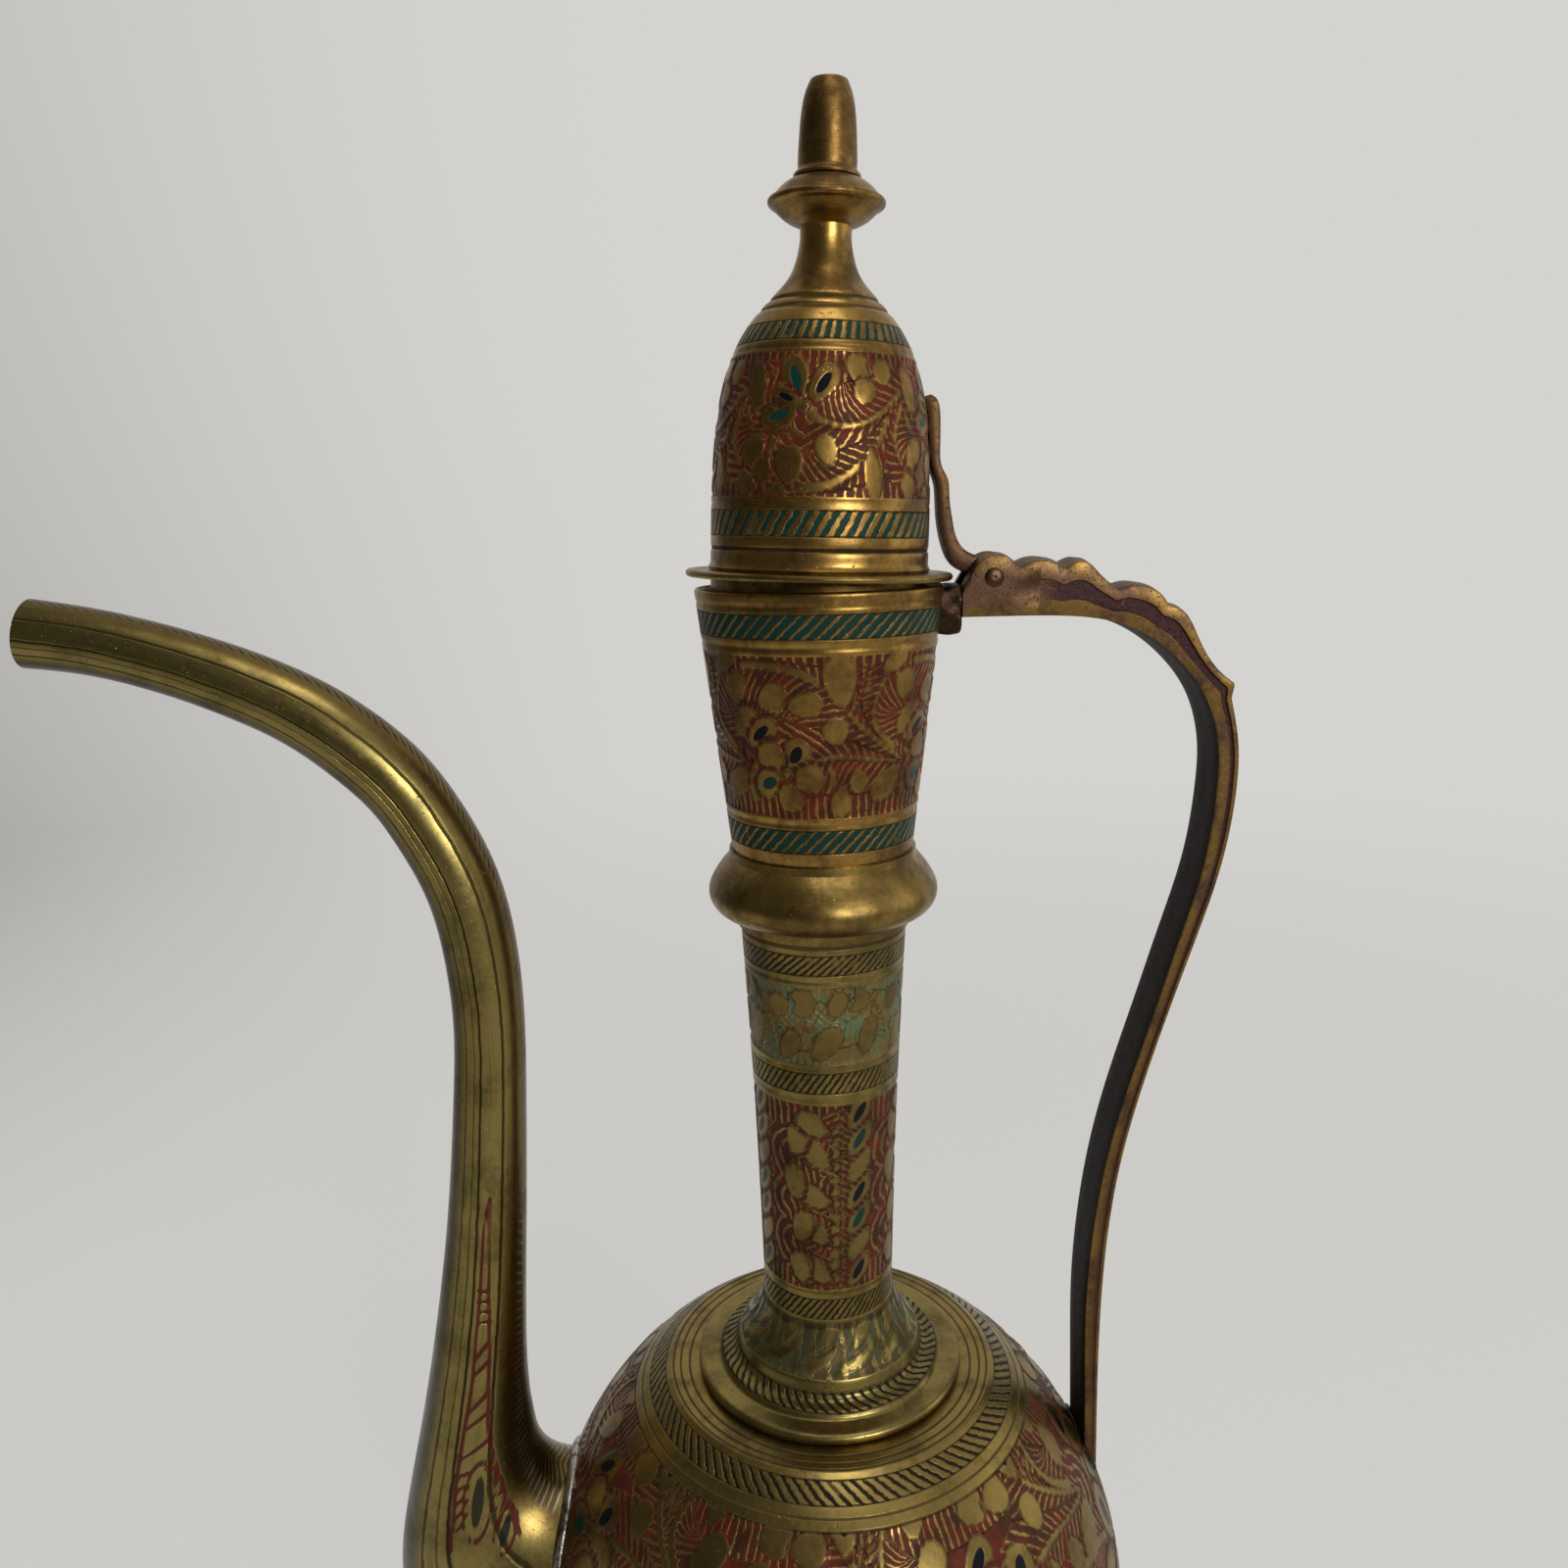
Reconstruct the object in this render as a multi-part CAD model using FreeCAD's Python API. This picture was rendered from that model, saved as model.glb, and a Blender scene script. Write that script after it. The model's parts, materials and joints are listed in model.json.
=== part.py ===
"""Long-necked brass coffee pot with a hinged domed lid, a swan-neck spout and a scalloped strap handle.

Millimetres. The origin is on the pot's turning axis at the bottom of the foot, +Z is up,
+X points to the handle and -X to the spout. Every piece is written to parts/ as its own solid.
"""
import FreeCAD
import Part
import math
import os

Vector = FreeCAD.Vector

# Sheet and joints
WALL = 1.4
LID_GAP = 0.3
SEAM_LEG = 1.4

# Foot
FOOT_HEIGHT = 28.0
FOOT_RIM_RADIUS = 39.0
FOOT_RIM_HEIGHT = 3.6
FOOT_WAIST_RADIUS = 20.5
FOOT_WAIST_DROP = 7.0

# Body: a ball of sheet with a flat under it for the foot and one on top for the neck
BODY_RADIUS = 65.0
BODY_SEAT_RADIUS = 25.0
SHOULDER_FLAT_RADIUS = 35.0

# Neck, from the shoulder up
NECK_BASE_RADIUS = 28.8
NECK_BASE_STEP = 2.4
NECK_BASE_HEIGHT = 18.2
SKIRT_RING_RADIUS = 23.9
SKIRT_FOOT_RADIUS = 19.4
NECK_WAIST_RADIUS = 13.9
NECK_TOP_RADIUS = 16.9
NECK_TUBE_LENGTH = 83.4
BEAD_RADIUS = 23.2
BEAD_HEIGHT = 15.8
BEAD_CREASE = 0.6
BEAD_WIDEST = 0.42
BEAD_ROUNDING = 2.5
CUP_FOOT_RADIUS = 18.2
CUP_RIM_RADIUS = 24.2
CUP_HEIGHT = 51.8

# Lid and finial
FLANGE_RADIUS = 25.7
FLANGE_THICKNESS = 1.4
SPIGOT_DEPTH = 7.0
SPIGOT_CLEARANCE = 1.1
DOME_HEIGHT = 61.6
STEM_RADIUS = 4.8
STEM_LENGTH = 14.8
DISC_RADIUS = 10.8
DISC_HEIGHT = 8.3
DISC_RIM_HEIGHT = 4.1
DISC_RIM_THICKNESS = 1.6
DISC_FULLNESS = 0.26
TIP_RADIUS = 5.4
TIP_END_RADIUS = 3.4
TIP_HEIGHT = 16.2
STUD_RADIUS = 2.0
STUD_BITE = 9.0

# Hinge
PIN_RADIUS = 1.1
PIN_CLEARANCE = 0.06
PIN_HEAD_RADIUS = 1.9
PIN_HEAD_HEIGHT = 0.8
PIN_OUT = 8.8
PIN_RISE = 1.0
KNUCKLE_RADIUS = 3.0
STRAP_WIDTH = 5.4
STRAP_CLEARANCE = 0.3
AJAR_DEGREES = 2.0

# Handle
HANDLE_WIDTH = 12.0
PAD_THICKNESS = 2.8
PAD_HEIGHT = 9.2
PAD_TOP_DROP = 0.5
HANDLE_LANDING_DEGREES = 27.5
HANDLE_FOOT_DEPTH = 5.0
FOOT_PAD_HEIGHT = 9.0
SLOT_LENGTH = 11.0
SLOT_FLOOR_DROP = 2.6

# Spout
SPOUT_WALL = 1.3
SPOUT_FLATTEN = 0.98
SPOUT_JOINT_RISE = 160.0
SPOUT_HOLE_RADIUS = 14.0
SPOUT_HOLE_RISE = 3.0
SPOUT_ELBOW = 5

# Levels that follow from the sizes
BODY_CENTRE = FOOT_HEIGHT + math.sqrt(BODY_RADIUS ** 2 - BODY_SEAT_RADIUS ** 2)
SHOULDER = BODY_CENTRE + math.sqrt(BODY_RADIUS ** 2 - SHOULDER_FLAT_RADIUS ** 2)
NECK_FOOT = SHOULDER + NECK_BASE_HEIGHT
BEAD_FOOT = NECK_FOOT + NECK_TUBE_LENGTH
CUP_FOOT = BEAD_FOOT + BEAD_HEIGHT
RIM = CUP_FOOT + CUP_HEIGHT
FLANGE_FOOT = RIM + LID_GAP
DOME_FOOT = FLANGE_FOOT + FLANGE_THICKNESS
DISC_FOOT = DOME_FOOT + DOME_HEIGHT
TIP_FOOT = DISC_FOOT + DISC_HEIGHT
NECK_BORE = NECK_WAIST_RADIUS - WALL
BEAD_BORE = NECK_TOP_RADIUS - WALL
CUP_SLOPE = (CUP_RIM_RADIUS - CUP_FOOT_RADIUS) / CUP_HEIGHT
DOME_RADIUS = CUP_RIM_RADIUS - WALL - CUP_SLOPE * SPIGOT_DEPTH - SPIGOT_CLEARANCE
PIN_X = CUP_RIM_RADIUS + PIN_OUT
PIN_Z = RIM + PIN_RISE
LANDING_X = BODY_RADIUS * math.cos(math.radians(HANDLE_LANDING_DEGREES))
LANDING_Z = BODY_CENTRE + BODY_RADIUS * math.sin(math.radians(HANDLE_LANDING_DEGREES))
SLOT_WIDTH = STRAP_WIDTH + 2 * STRAP_CLEARANCE
FAR = 4 * BODY_RADIUS

AXIS = Vector(0, 0, 1)
ACROSS = Vector(0, 1, 0)
ORIGIN = Vector(0, 0, 0)


def at(x, z, y=0.0):
    """A point given across, up and, where it is needed, to the back."""
    return Vector(x, y, z)


def line(*points):
    """Straight edges through the points."""
    return [Part.LineSegment(a, b).toShape() for a, b in zip(points, points[1:])]


def arc(start, middle, end):
    """One round edge through three points."""
    return [Part.Arc(start, middle, end).toShape()]


def curve(*points):
    """One smooth edge through the points."""
    spline = Part.BSplineCurve()
    spline.interpolate(list(points))
    return [spline.toShape()]


def outline(edges):
    """A flat face inside a closed row of edges."""
    return Part.Face(Part.Wire(edges))


def turned(edges):
    """A solid of revolution about the pot's axis."""
    return outline(edges).revolve(ORIGIN, AXIS, 360)


def slab(edges, width):
    """A plate of the given width, centred on the plane of the handle and spout."""
    plate = outline(edges).extrude(ACROSS * width)
    plate.translate(ACROSS * (-width / 2))
    return plate


def ball(radius):
    """A ball about the body's centre."""
    return Part.makeSphere(radius, at(0, BODY_CENTRE))


def ball_height(radius, out):
    """How far above the body's centre a ball's surface lies at a distance from the axis."""
    return math.sqrt(radius ** 2 - out ** 2)


def cross_pin(radius, length):
    """A round bar along the hinge line."""
    return Part.makeCylinder(radius, length, at(PIN_X, PIN_Z, -length / 2), ACROSS)


def make_foot():
    """Flared foot, open underneath."""
    waist = FOOT_HEIGHT - FOOT_WAIST_DROP
    rim_top = FOOT_RIM_HEIGHT
    flare_radius = FOOT_RIM_RADIUS - FOOT_RIM_HEIGHT / 2
    middle = (FOOT_WAIST_RADIUS + (flare_radius - FOOT_WAIST_RADIUS) * 0.3, (waist + rim_top) / 2)
    outside = line(at(BODY_SEAT_RADIUS - WALL, FOOT_HEIGHT), at(BODY_SEAT_RADIUS, FOOT_HEIGHT))
    outside += curve(at(BODY_SEAT_RADIUS, FOOT_HEIGHT), at(FOOT_WAIST_RADIUS, waist), at(*middle),
                     at(flare_radius, rim_top))
    outside += arc(at(flare_radius, rim_top), at(FOOT_RIM_RADIUS, rim_top / 2), at(flare_radius, 0))
    inside = line(at(flare_radius, 0), at(flare_radius - 2 * WALL, 0))
    inside += curve(at(flare_radius - 2 * WALL, 0), at(middle[0] - WALL, middle[1] - WALL),
                    at(FOOT_WAIST_RADIUS - WALL, waist - WALL / 2), at(BODY_SEAT_RADIUS - WALL, FOOT_HEIGHT))
    return turned(outside + inside)


def spout_hole():
    """The round hole through which the body feeds the spout."""
    start = at(-BODY_RADIUS / 2, BODY_CENTRE + SPOUT_HOLE_RISE)
    return Part.makeCylinder(SPOUT_HOLE_RADIUS, BODY_RADIUS, start, Vector(-1, 0, 0))


def make_body_lower():
    """Lower half of the ball, with a flat floor."""
    inner = BODY_RADIUS - WALL
    floor = FOOT_HEIGHT + WALL
    floor_radius = ball_height(inner, BODY_CENTRE - floor)
    slant = math.sqrt(0.5)
    edges = line(at(0, floor), at(0, FOOT_HEIGHT), at(BODY_SEAT_RADIUS, FOOT_HEIGHT))
    edges += arc(at(BODY_SEAT_RADIUS, FOOT_HEIGHT),
                 at(BODY_RADIUS * slant, BODY_CENTRE - BODY_RADIUS * slant), at(BODY_RADIUS, BODY_CENTRE))
    edges += line(at(BODY_RADIUS, BODY_CENTRE), at(inner, BODY_CENTRE))
    edges += arc(at(inner, BODY_CENTRE), at(inner * slant, BODY_CENTRE - inner * slant),
                 at(floor_radius, floor))
    edges += line(at(floor_radius, floor), at(0, floor))
    return turned(edges).cut(spout_hole())


def make_body_upper():
    """Upper half of the ball, with a flat shoulder round the neck's hole."""
    inner = BODY_RADIUS - WALL
    ceiling = SHOULDER - WALL
    ceiling_radius = ball_height(inner, ceiling - BODY_CENTRE)
    slant = math.sqrt(0.5)
    edges = line(at(inner, BODY_CENTRE), at(BODY_RADIUS, BODY_CENTRE))
    edges += arc(at(BODY_RADIUS, BODY_CENTRE),
                 at(BODY_RADIUS * slant, BODY_CENTRE + BODY_RADIUS * slant), at(SHOULDER_FLAT_RADIUS, SHOULDER))
    edges += line(at(SHOULDER_FLAT_RADIUS, SHOULDER), at(NECK_BORE, SHOULDER), at(NECK_BORE, ceiling),
                  at(ceiling_radius, ceiling))
    edges += arc(at(ceiling_radius, ceiling), at(inner * slant, BODY_CENTRE + inner * slant),
                 at(inner, BODY_CENTRE))
    return turned(edges).cut(spout_hole())


def make_neck_base():
    """Stepped disc and flared skirt that carry the neck on the shoulder."""
    step = SHOULDER + NECK_BASE_STEP
    half_step = NECK_BASE_STEP / 2
    ring = step + WALL
    skirt = ring + (NECK_FOOT - ring) * 0.28
    edges = line(at(NECK_BORE, NECK_FOOT), at(NECK_BORE, SHOULDER), at(NECK_BASE_RADIUS - half_step, SHOULDER))
    edges += arc(at(NECK_BASE_RADIUS - half_step, SHOULDER), at(NECK_BASE_RADIUS, SHOULDER + half_step),
                 at(NECK_BASE_RADIUS - half_step, step))
    edges += line(at(NECK_BASE_RADIUS - half_step, step), at(SKIRT_RING_RADIUS, step),
                  at(SKIRT_RING_RADIUS, ring), at(SKIRT_FOOT_RADIUS, skirt))
    edges += curve(at(SKIRT_FOOT_RADIUS, skirt),
                   at((SKIRT_FOOT_RADIUS + 2 * NECK_WAIST_RADIUS) / 3, (skirt + NECK_FOOT) / 2),
                   at(NECK_WAIST_RADIUS, NECK_FOOT))
    edges += line(at(NECK_WAIST_RADIUS, NECK_FOOT), at(NECK_BORE, NECK_FOOT))
    return turned(edges)


def make_neck_tube():
    """Slim tube that widens upwards to the bead."""
    middle = (NECK_FOOT + BEAD_FOOT) / 2
    middle_radius = NECK_WAIST_RADIUS + (NECK_TOP_RADIUS - NECK_WAIST_RADIUS) * 0.36
    edges = curve(at(NECK_WAIST_RADIUS, NECK_FOOT), at(middle_radius, middle), at(NECK_TOP_RADIUS, BEAD_FOOT))
    edges += line(at(NECK_TOP_RADIUS, BEAD_FOOT), at(BEAD_BORE, BEAD_FOOT))
    edges += curve(at(BEAD_BORE, BEAD_FOOT), at(middle_radius - WALL, middle), at(NECK_BORE, NECK_FOOT))
    edges += line(at(NECK_BORE, NECK_FOOT), at(NECK_WAIST_RADIUS, NECK_FOOT))
    return turned(edges)


def make_neck_bead():
    """Round ring between the neck and the cup."""
    bottom = at(NECK_TOP_RADIUS + BEAD_CREASE, BEAD_FOOT)
    top = at(CUP_FOOT_RADIUS + BEAD_CREASE, CUP_FOOT)
    edges = line(top, at(BEAD_BORE, CUP_FOOT), at(BEAD_BORE, BEAD_FOOT), bottom)
    widest = BEAD_FOOT + BEAD_HEIGHT * BEAD_WIDEST
    flank = BEAD_RADIUS - BEAD_ROUNDING
    edges += curve(bottom, at(flank, (widest + 5 * BEAD_FOOT) / 6), at(BEAD_RADIUS, widest),
                   at(flank, (widest + 2 * CUP_FOOT) / 3), top)
    return turned(edges)


def make_neck_cup():
    """Tapered cup under the lid, open at both ends."""
    edges = line(at(CUP_FOOT_RADIUS, CUP_FOOT), at(CUP_RIM_RADIUS, RIM), at(CUP_RIM_RADIUS - WALL, RIM),
                 at(CUP_FOOT_RADIUS - WALL, CUP_FOOT), at(CUP_FOOT_RADIUS, CUP_FOOT))
    return turned(edges)


def spout_sections():
    """The spout's cross-sections as pairs of points, on its inner edge and its outer edge."""
    def spot(out, up):
        return at(-BODY_RADIUS - out, BODY_CENTRE + up)

    root = [
        (spot(-22.0, 27.0), spot(-9.0, -25.0), 21.5),
        (spot(-8.0, 29.0), spot(8.0, -23.5), 20.3),
        (spot(-2.4, 31.8), spot(20.5, -18.0), 18.6),
        (spot(0.2, 36.0), spot(29.6, -8.0), 16.8),
        (spot(1.2, 41.5), spot(32.4, 8.0), 15.0),
        (spot(1.8, 49.0), spot(29.6, 26.0), 13.2),
        (spot(1.7, 60.0), spot(24.0, 50.0), 10.9),
    ]
    sections = list(root)
    riser = [(10.4, 75.7, 9.0), (7.9, 99.0, 8.1), (5.9, 122.0, 7.4), (5.4, 136.0, 7.4), (6.5, 152.0, 7.5),
             (11.0, 169.0, 7.3), (18.2, 183.3, 7.1), (30.4, 195.6, 7.0), (43.6, 203.6, 6.8),
             (58.0, 209.6, 6.6), (73.0, 213.6, 6.4), (85.0, 215.2, 6.6)]
    places = [spot(out, up) for out, up, radius in riser]
    for index, (out, up, radius) in enumerate(riser):
        before = places[max(index - 1, 0)]
        after = places[min(index + 1, len(riser) - 1)]
        along = (after - before).normalize()
        inward = Vector(along.z, 0, -along.x)
        sections.append((places[index] + inward * radius, places[index] - inward * radius,
                         radius * SPOUT_FLATTEN))
    return sections


def spout_form(grow, first, last):
    """One run of the spout's solid form, with every section grown by a distance."""
    wires = []
    for inner, outer, half_depth in spout_sections()[first:last]:
        centre = (inner + outer) * 0.5
        reach = inner - centre
        half_length = reach.Length
        along = reach.normalize()
        crest = centre + along * (half_length + grow)
        flank = centre + ACROSS * (half_depth + grow)
        oval = Part.Ellipse(crest, flank, centre)
        wires.append(Part.Wire(oval.toShape()))
    return Part.makeLoft(wires, True, False)


def below(level):
    """All the space under a level."""
    return Part.makeBox(2 * FAR, 2 * FAR, FAR + level, at(-FAR, -FAR, -FAR))


def past_section(index):
    """All the space beyond one of the spout's sections."""
    inner, outer, half_depth = spout_sections()[index]
    across = inner - outer
    return Part.makeCylinder(FAR, 2 * FAR, (inner + outer) * 0.5, Vector(-across.z, 0, across.x))


def spout_run(first, last):
    """One hollow run of the spout."""
    return spout_form(0.0, first, last).cut(spout_form(-SPOUT_WALL, first, last))


def make_spout():
    """The hollow spout in two lengths, soldered in the bend, and the seam round its root."""
    elbow = past_section(SPOUT_ELBOW)
    root = spout_run(0, SPOUT_ELBOW + 2).cut(elbow).cut(ball(BODY_RADIUS))
    tube = spout_run(SPOUT_ELBOW - 1, None).common(elbow)
    joint = below(BODY_CENTRE + SPOUT_JOINT_RISE)
    lower = root.fuse(tube.common(joint)).removeSplitter()
    bead = spout_form(SEAM_LEG, 0, SPOUT_ELBOW + 2).common(ball(BODY_RADIUS + SEAM_LEG))
    seam = bead.cut(ball(BODY_RADIUS)).cut(spout_form(0.0, 0, SPOUT_ELBOW + 2))
    return {"spout_lower": lower, "spout_upper": tube.cut(joint), "spout_seam": seam}


def rim_spot(out, up):
    """A point of the handle's upper part, from the cup's rim."""
    return at(CUP_RIM_RADIUS + out, RIM + up)


def landing_spot(out, up):
    """A point of the handle's lower part, from where it lands on the body."""
    return at(LANDING_X + out, LANDING_Z + up)


def handle_outline():
    """The side of the handle: a smooth inner edge and a scalloped outer edge with a spur."""
    face_foot = rim_spot(PAD_THICKNESS, -6.4)
    face_top = rim_spot(PAD_THICKNESS, -1.0)
    inner_end = landing_spot(-0.9, -HANDLE_FOOT_DEPTH)
    outer_end = landing_spot(1.9, -HANDLE_FOOT_DEPTH)
    spur_under = rim_spot(56.3, -23.4)
    spur_tip = rim_spot(56.8, -20.6)
    notches = [rim_spot(42.9, -5.0), rim_spot(33.0, -1.9), rim_spot(22.6, 2.3), rim_spot(13.6, 2.6)]
    ear_end = rim_spot(4.6, 2.0)
    edges = curve(face_foot, rim_spot(12.0, -6.4), rim_spot(24.2, -6.7), rim_spot(33.8, -8.4),
                  rim_spot(40.8, -12.0), rim_spot(46.4, -16.9), rim_spot(51.3, -23.8), rim_spot(54.0, -33.0),
                  rim_spot(54.2, -42.0), rim_spot(52.4, -57.2), rim_spot(48.0, -73.6), landing_spot(9.7, 103.5),
                  landing_spot(4.7, 86.1), landing_spot(0.8, 68.2), landing_spot(-1.4, 49.0),
                  landing_spot(-1.9, 34.0), landing_spot(-1.5, 18.0), inner_end)
    edges += line(inner_end, outer_end)
    edges += curve(outer_end, landing_spot(1.6, 12.0), landing_spot(1.5, 27.0), landing_spot(2.0, 47.0),
                   landing_spot(4.1, 68.0), landing_spot(7.9, 86.0), landing_spot(12.8, 103.4),
                   rim_spot(51.5, -73.8), rim_spot(56.2, -57.3), rim_spot(58.3, -43.0), rim_spot(58.2, -32.5),
                   spur_under)
    edges += line(spur_under, spur_tip)
    edges += curve(spur_tip, rim_spot(53.6, -18.0), rim_spot(50.2, -13.5), rim_spot(47.6, -8.4),
                   rim_spot(45.5, -5.9), notches[0])
    edges += curve(notches[0], rim_spot(41.4, -2.9), rim_spot(38.6, -1.4), rim_spot(35.4, -1.1), notches[1])
    edges += curve(notches[1], rim_spot(29.3, 1.2), rim_spot(26.8, 3.5), rim_spot(24.4, 3.6), notches[2])
    edges += arc(notches[2], rim_spot(18.2, 4.1), notches[3])
    edges += arc(notches[3], rim_spot(8.9, 5.3), ear_end)
    edges += line(ear_end, face_top, face_foot)
    return edges


def make_handle():
    """Cast strap handle with a forked end for the lid's hinge."""
    blank = slab(handle_outline(), HANDLE_WIDTH)
    floor = PIN_Z - KNUCKLE_RADIUS - SLOT_FLOOR_DROP + STRAP_CLEARANCE
    corner = at(CUP_RIM_RADIUS + PAD_THICKNESS, floor, -SLOT_WIDTH / 2)
    slot = Part.makeBox(SLOT_LENGTH, SLOT_WIDTH, FAR, corner)
    return blank.cut(slot).cut(cross_pin(PIN_RADIUS, HANDLE_WIDTH)).cut(ball(BODY_RADIUS))


def make_handle_top_pad():
    """Block that joins the handle's end to the cup's wall."""
    top = RIM - PAD_TOP_DROP
    start = CUP_FOOT_RADIUS
    block = Part.makeBox(CUP_RIM_RADIUS + PAD_THICKNESS - start, HANDLE_WIDTH, PAD_HEIGHT,
                         at(start, top - PAD_HEIGHT, -HANDLE_WIDTH / 2))
    cone = Part.makeCone(CUP_FOOT_RADIUS, CUP_RIM_RADIUS, CUP_HEIGHT, at(0, CUP_FOOT))
    return block.cut(cone)


def make_handle_foot_pad(handle):
    """Solder round the handle's lower end, lying on the body."""
    width = HANDLE_WIDTH + 2 * SEAM_LEG
    foot = LANDING_Z + 2 * SEAM_LEG - FOOT_PAD_HEIGHT
    block = Part.makeBox(BODY_RADIUS, width, FOOT_PAD_HEIGHT, at(LANDING_X / 2, foot, -width / 2))
    skin = ball(BODY_RADIUS + SEAM_LEG).cut(ball(BODY_RADIUS))
    return block.common(skin).cut(handle)


def make_hinge_pin():
    """Hinge pin, peened over at both ends."""
    pin = cross_pin(PIN_RADIUS, HANDLE_WIDTH)
    for side in (-1, 1):
        place = at(PIN_X, PIN_Z, side * HANDLE_WIDTH / 2)
        pin = pin.fuse(Part.makeCone(PIN_HEAD_RADIUS, PIN_RADIUS, PIN_HEAD_HEIGHT, place, ACROSS * side))
    return pin.removeSplitter()


def dome_points(inset):
    """The dome's outline from its foot to the root of its stem, moved inwards by a distance."""
    shape = [(1.0, 0.0), (0.985, 0.31), (0.905, 0.535), (0.75, 0.677), (0.575, 0.76)]
    return [at(DOME_RADIUS * share - inset, DOME_FOOT + DOME_HEIGHT * rise - inset * (1 - share) * 2)
            for share, rise in shape]


def make_lid_dome(stud):
    """Domed lid with a stem that carries the finial."""
    stem_foot = DISC_FOOT - STEM_LENGTH
    outside = dome_points(0.0)
    stem = [at(STEM_RADIUS + 3.9, stem_foot + 3.6), at(STEM_RADIUS + 1.4, stem_foot + 7.0),
            at(STEM_RADIUS, DISC_FOOT - 2.5), at(STEM_RADIUS, DISC_FOOT)]
    inside = dome_points(WALL)
    crown = at(0, inside[-1].z + WALL)
    edges = curve(*outside, *stem)
    edges += line(stem[-1], at(0, DISC_FOOT), crown)
    edges += curve(crown, at(inside[-1].x * 0.6, inside[-1].z + WALL * 0.6), *reversed(inside))
    edges += line(inside[0], outside[0])
    return turned(edges).cut(stud)


def make_lid_flange():
    """Wide thin plate under the dome that rests on the cup's rim."""
    bore = DOME_RADIUS - WALL
    edge = FLANGE_RADIUS - FLANGE_THICKNESS / 2
    edges = line(at(edge, DOME_FOOT), at(bore, DOME_FOOT), at(bore, FLANGE_FOOT), at(edge, FLANGE_FOOT))
    edges += arc(at(edge, FLANGE_FOOT), at(FLANGE_RADIUS, FLANGE_FOOT + FLANGE_THICKNESS / 2),
                 at(edge, DOME_FOOT))
    return turned(edges)


def make_lid_spigot():
    """Short tube under the flange that centres the lid in the cup."""
    foot = FLANGE_FOOT - SPIGOT_DEPTH
    bore = DOME_RADIUS - WALL
    edges = line(at(DOME_RADIUS, foot), at(DOME_RADIUS, FLANGE_FOOT), at(bore, FLANGE_FOOT), at(bore, foot),
                 at(DOME_RADIUS, foot))
    return turned(edges)


def make_finial_stud():
    """Stud that holds the finial's pieces on the stem."""
    foot = DISC_FOOT - STUD_BITE
    return Part.makeCylinder(STUD_RADIUS, DISC_HEIGHT + 2 * STUD_BITE, at(0, foot))


def make_finial_disc(stud):
    """Lens-shaped disc on the stem."""
    rim = DISC_FOOT + DISC_RIM_HEIGHT
    half_rim = DISC_RIM_THICKNESS / 2
    shoulder = DISC_RADIUS - half_rim
    edges = line(at(0, TIP_FOOT), at(0, DISC_FOOT), at(STEM_RADIUS, DISC_FOOT))
    edges += curve(at(STEM_RADIUS, DISC_FOOT),
                   at((STEM_RADIUS + shoulder) / 2, DISC_FOOT + DISC_RIM_HEIGHT * DISC_FULLNESS),
                   at(shoulder, rim - half_rim))
    edges += arc(at(shoulder, rim - half_rim), at(DISC_RADIUS, rim), at(shoulder, rim + half_rim))
    edges += curve(at(shoulder, rim + half_rim),
                   at((TIP_RADIUS + shoulder) / 2, TIP_FOOT - (TIP_FOOT - rim) * DISC_FULLNESS),
                   at(TIP_RADIUS, TIP_FOOT))
    edges += line(at(TIP_RADIUS, TIP_FOOT), at(0, TIP_FOOT))
    return turned(edges).cut(stud)


def make_finial_tip(stud):
    """Bullet-shaped tip with a flat end."""
    top = TIP_FOOT + TIP_HEIGHT
    edges = line(at(0, top), at(0, TIP_FOOT), at(TIP_RADIUS, TIP_FOOT))
    edges += curve(at(TIP_RADIUS, TIP_FOOT), at(TIP_RADIUS * 0.98, TIP_FOOT + TIP_HEIGHT * 0.35),
                   at(TIP_RADIUS * 0.93, TIP_FOOT + TIP_HEIGHT * 0.66),
                   at((TIP_RADIUS + TIP_END_RADIUS) / 2, TIP_FOOT + TIP_HEIGHT * 0.88), at(TIP_END_RADIUS, top))
    edges += line(at(TIP_END_RADIUS, top), at(0, top))
    return turned(edges).cut(stud)


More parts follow.
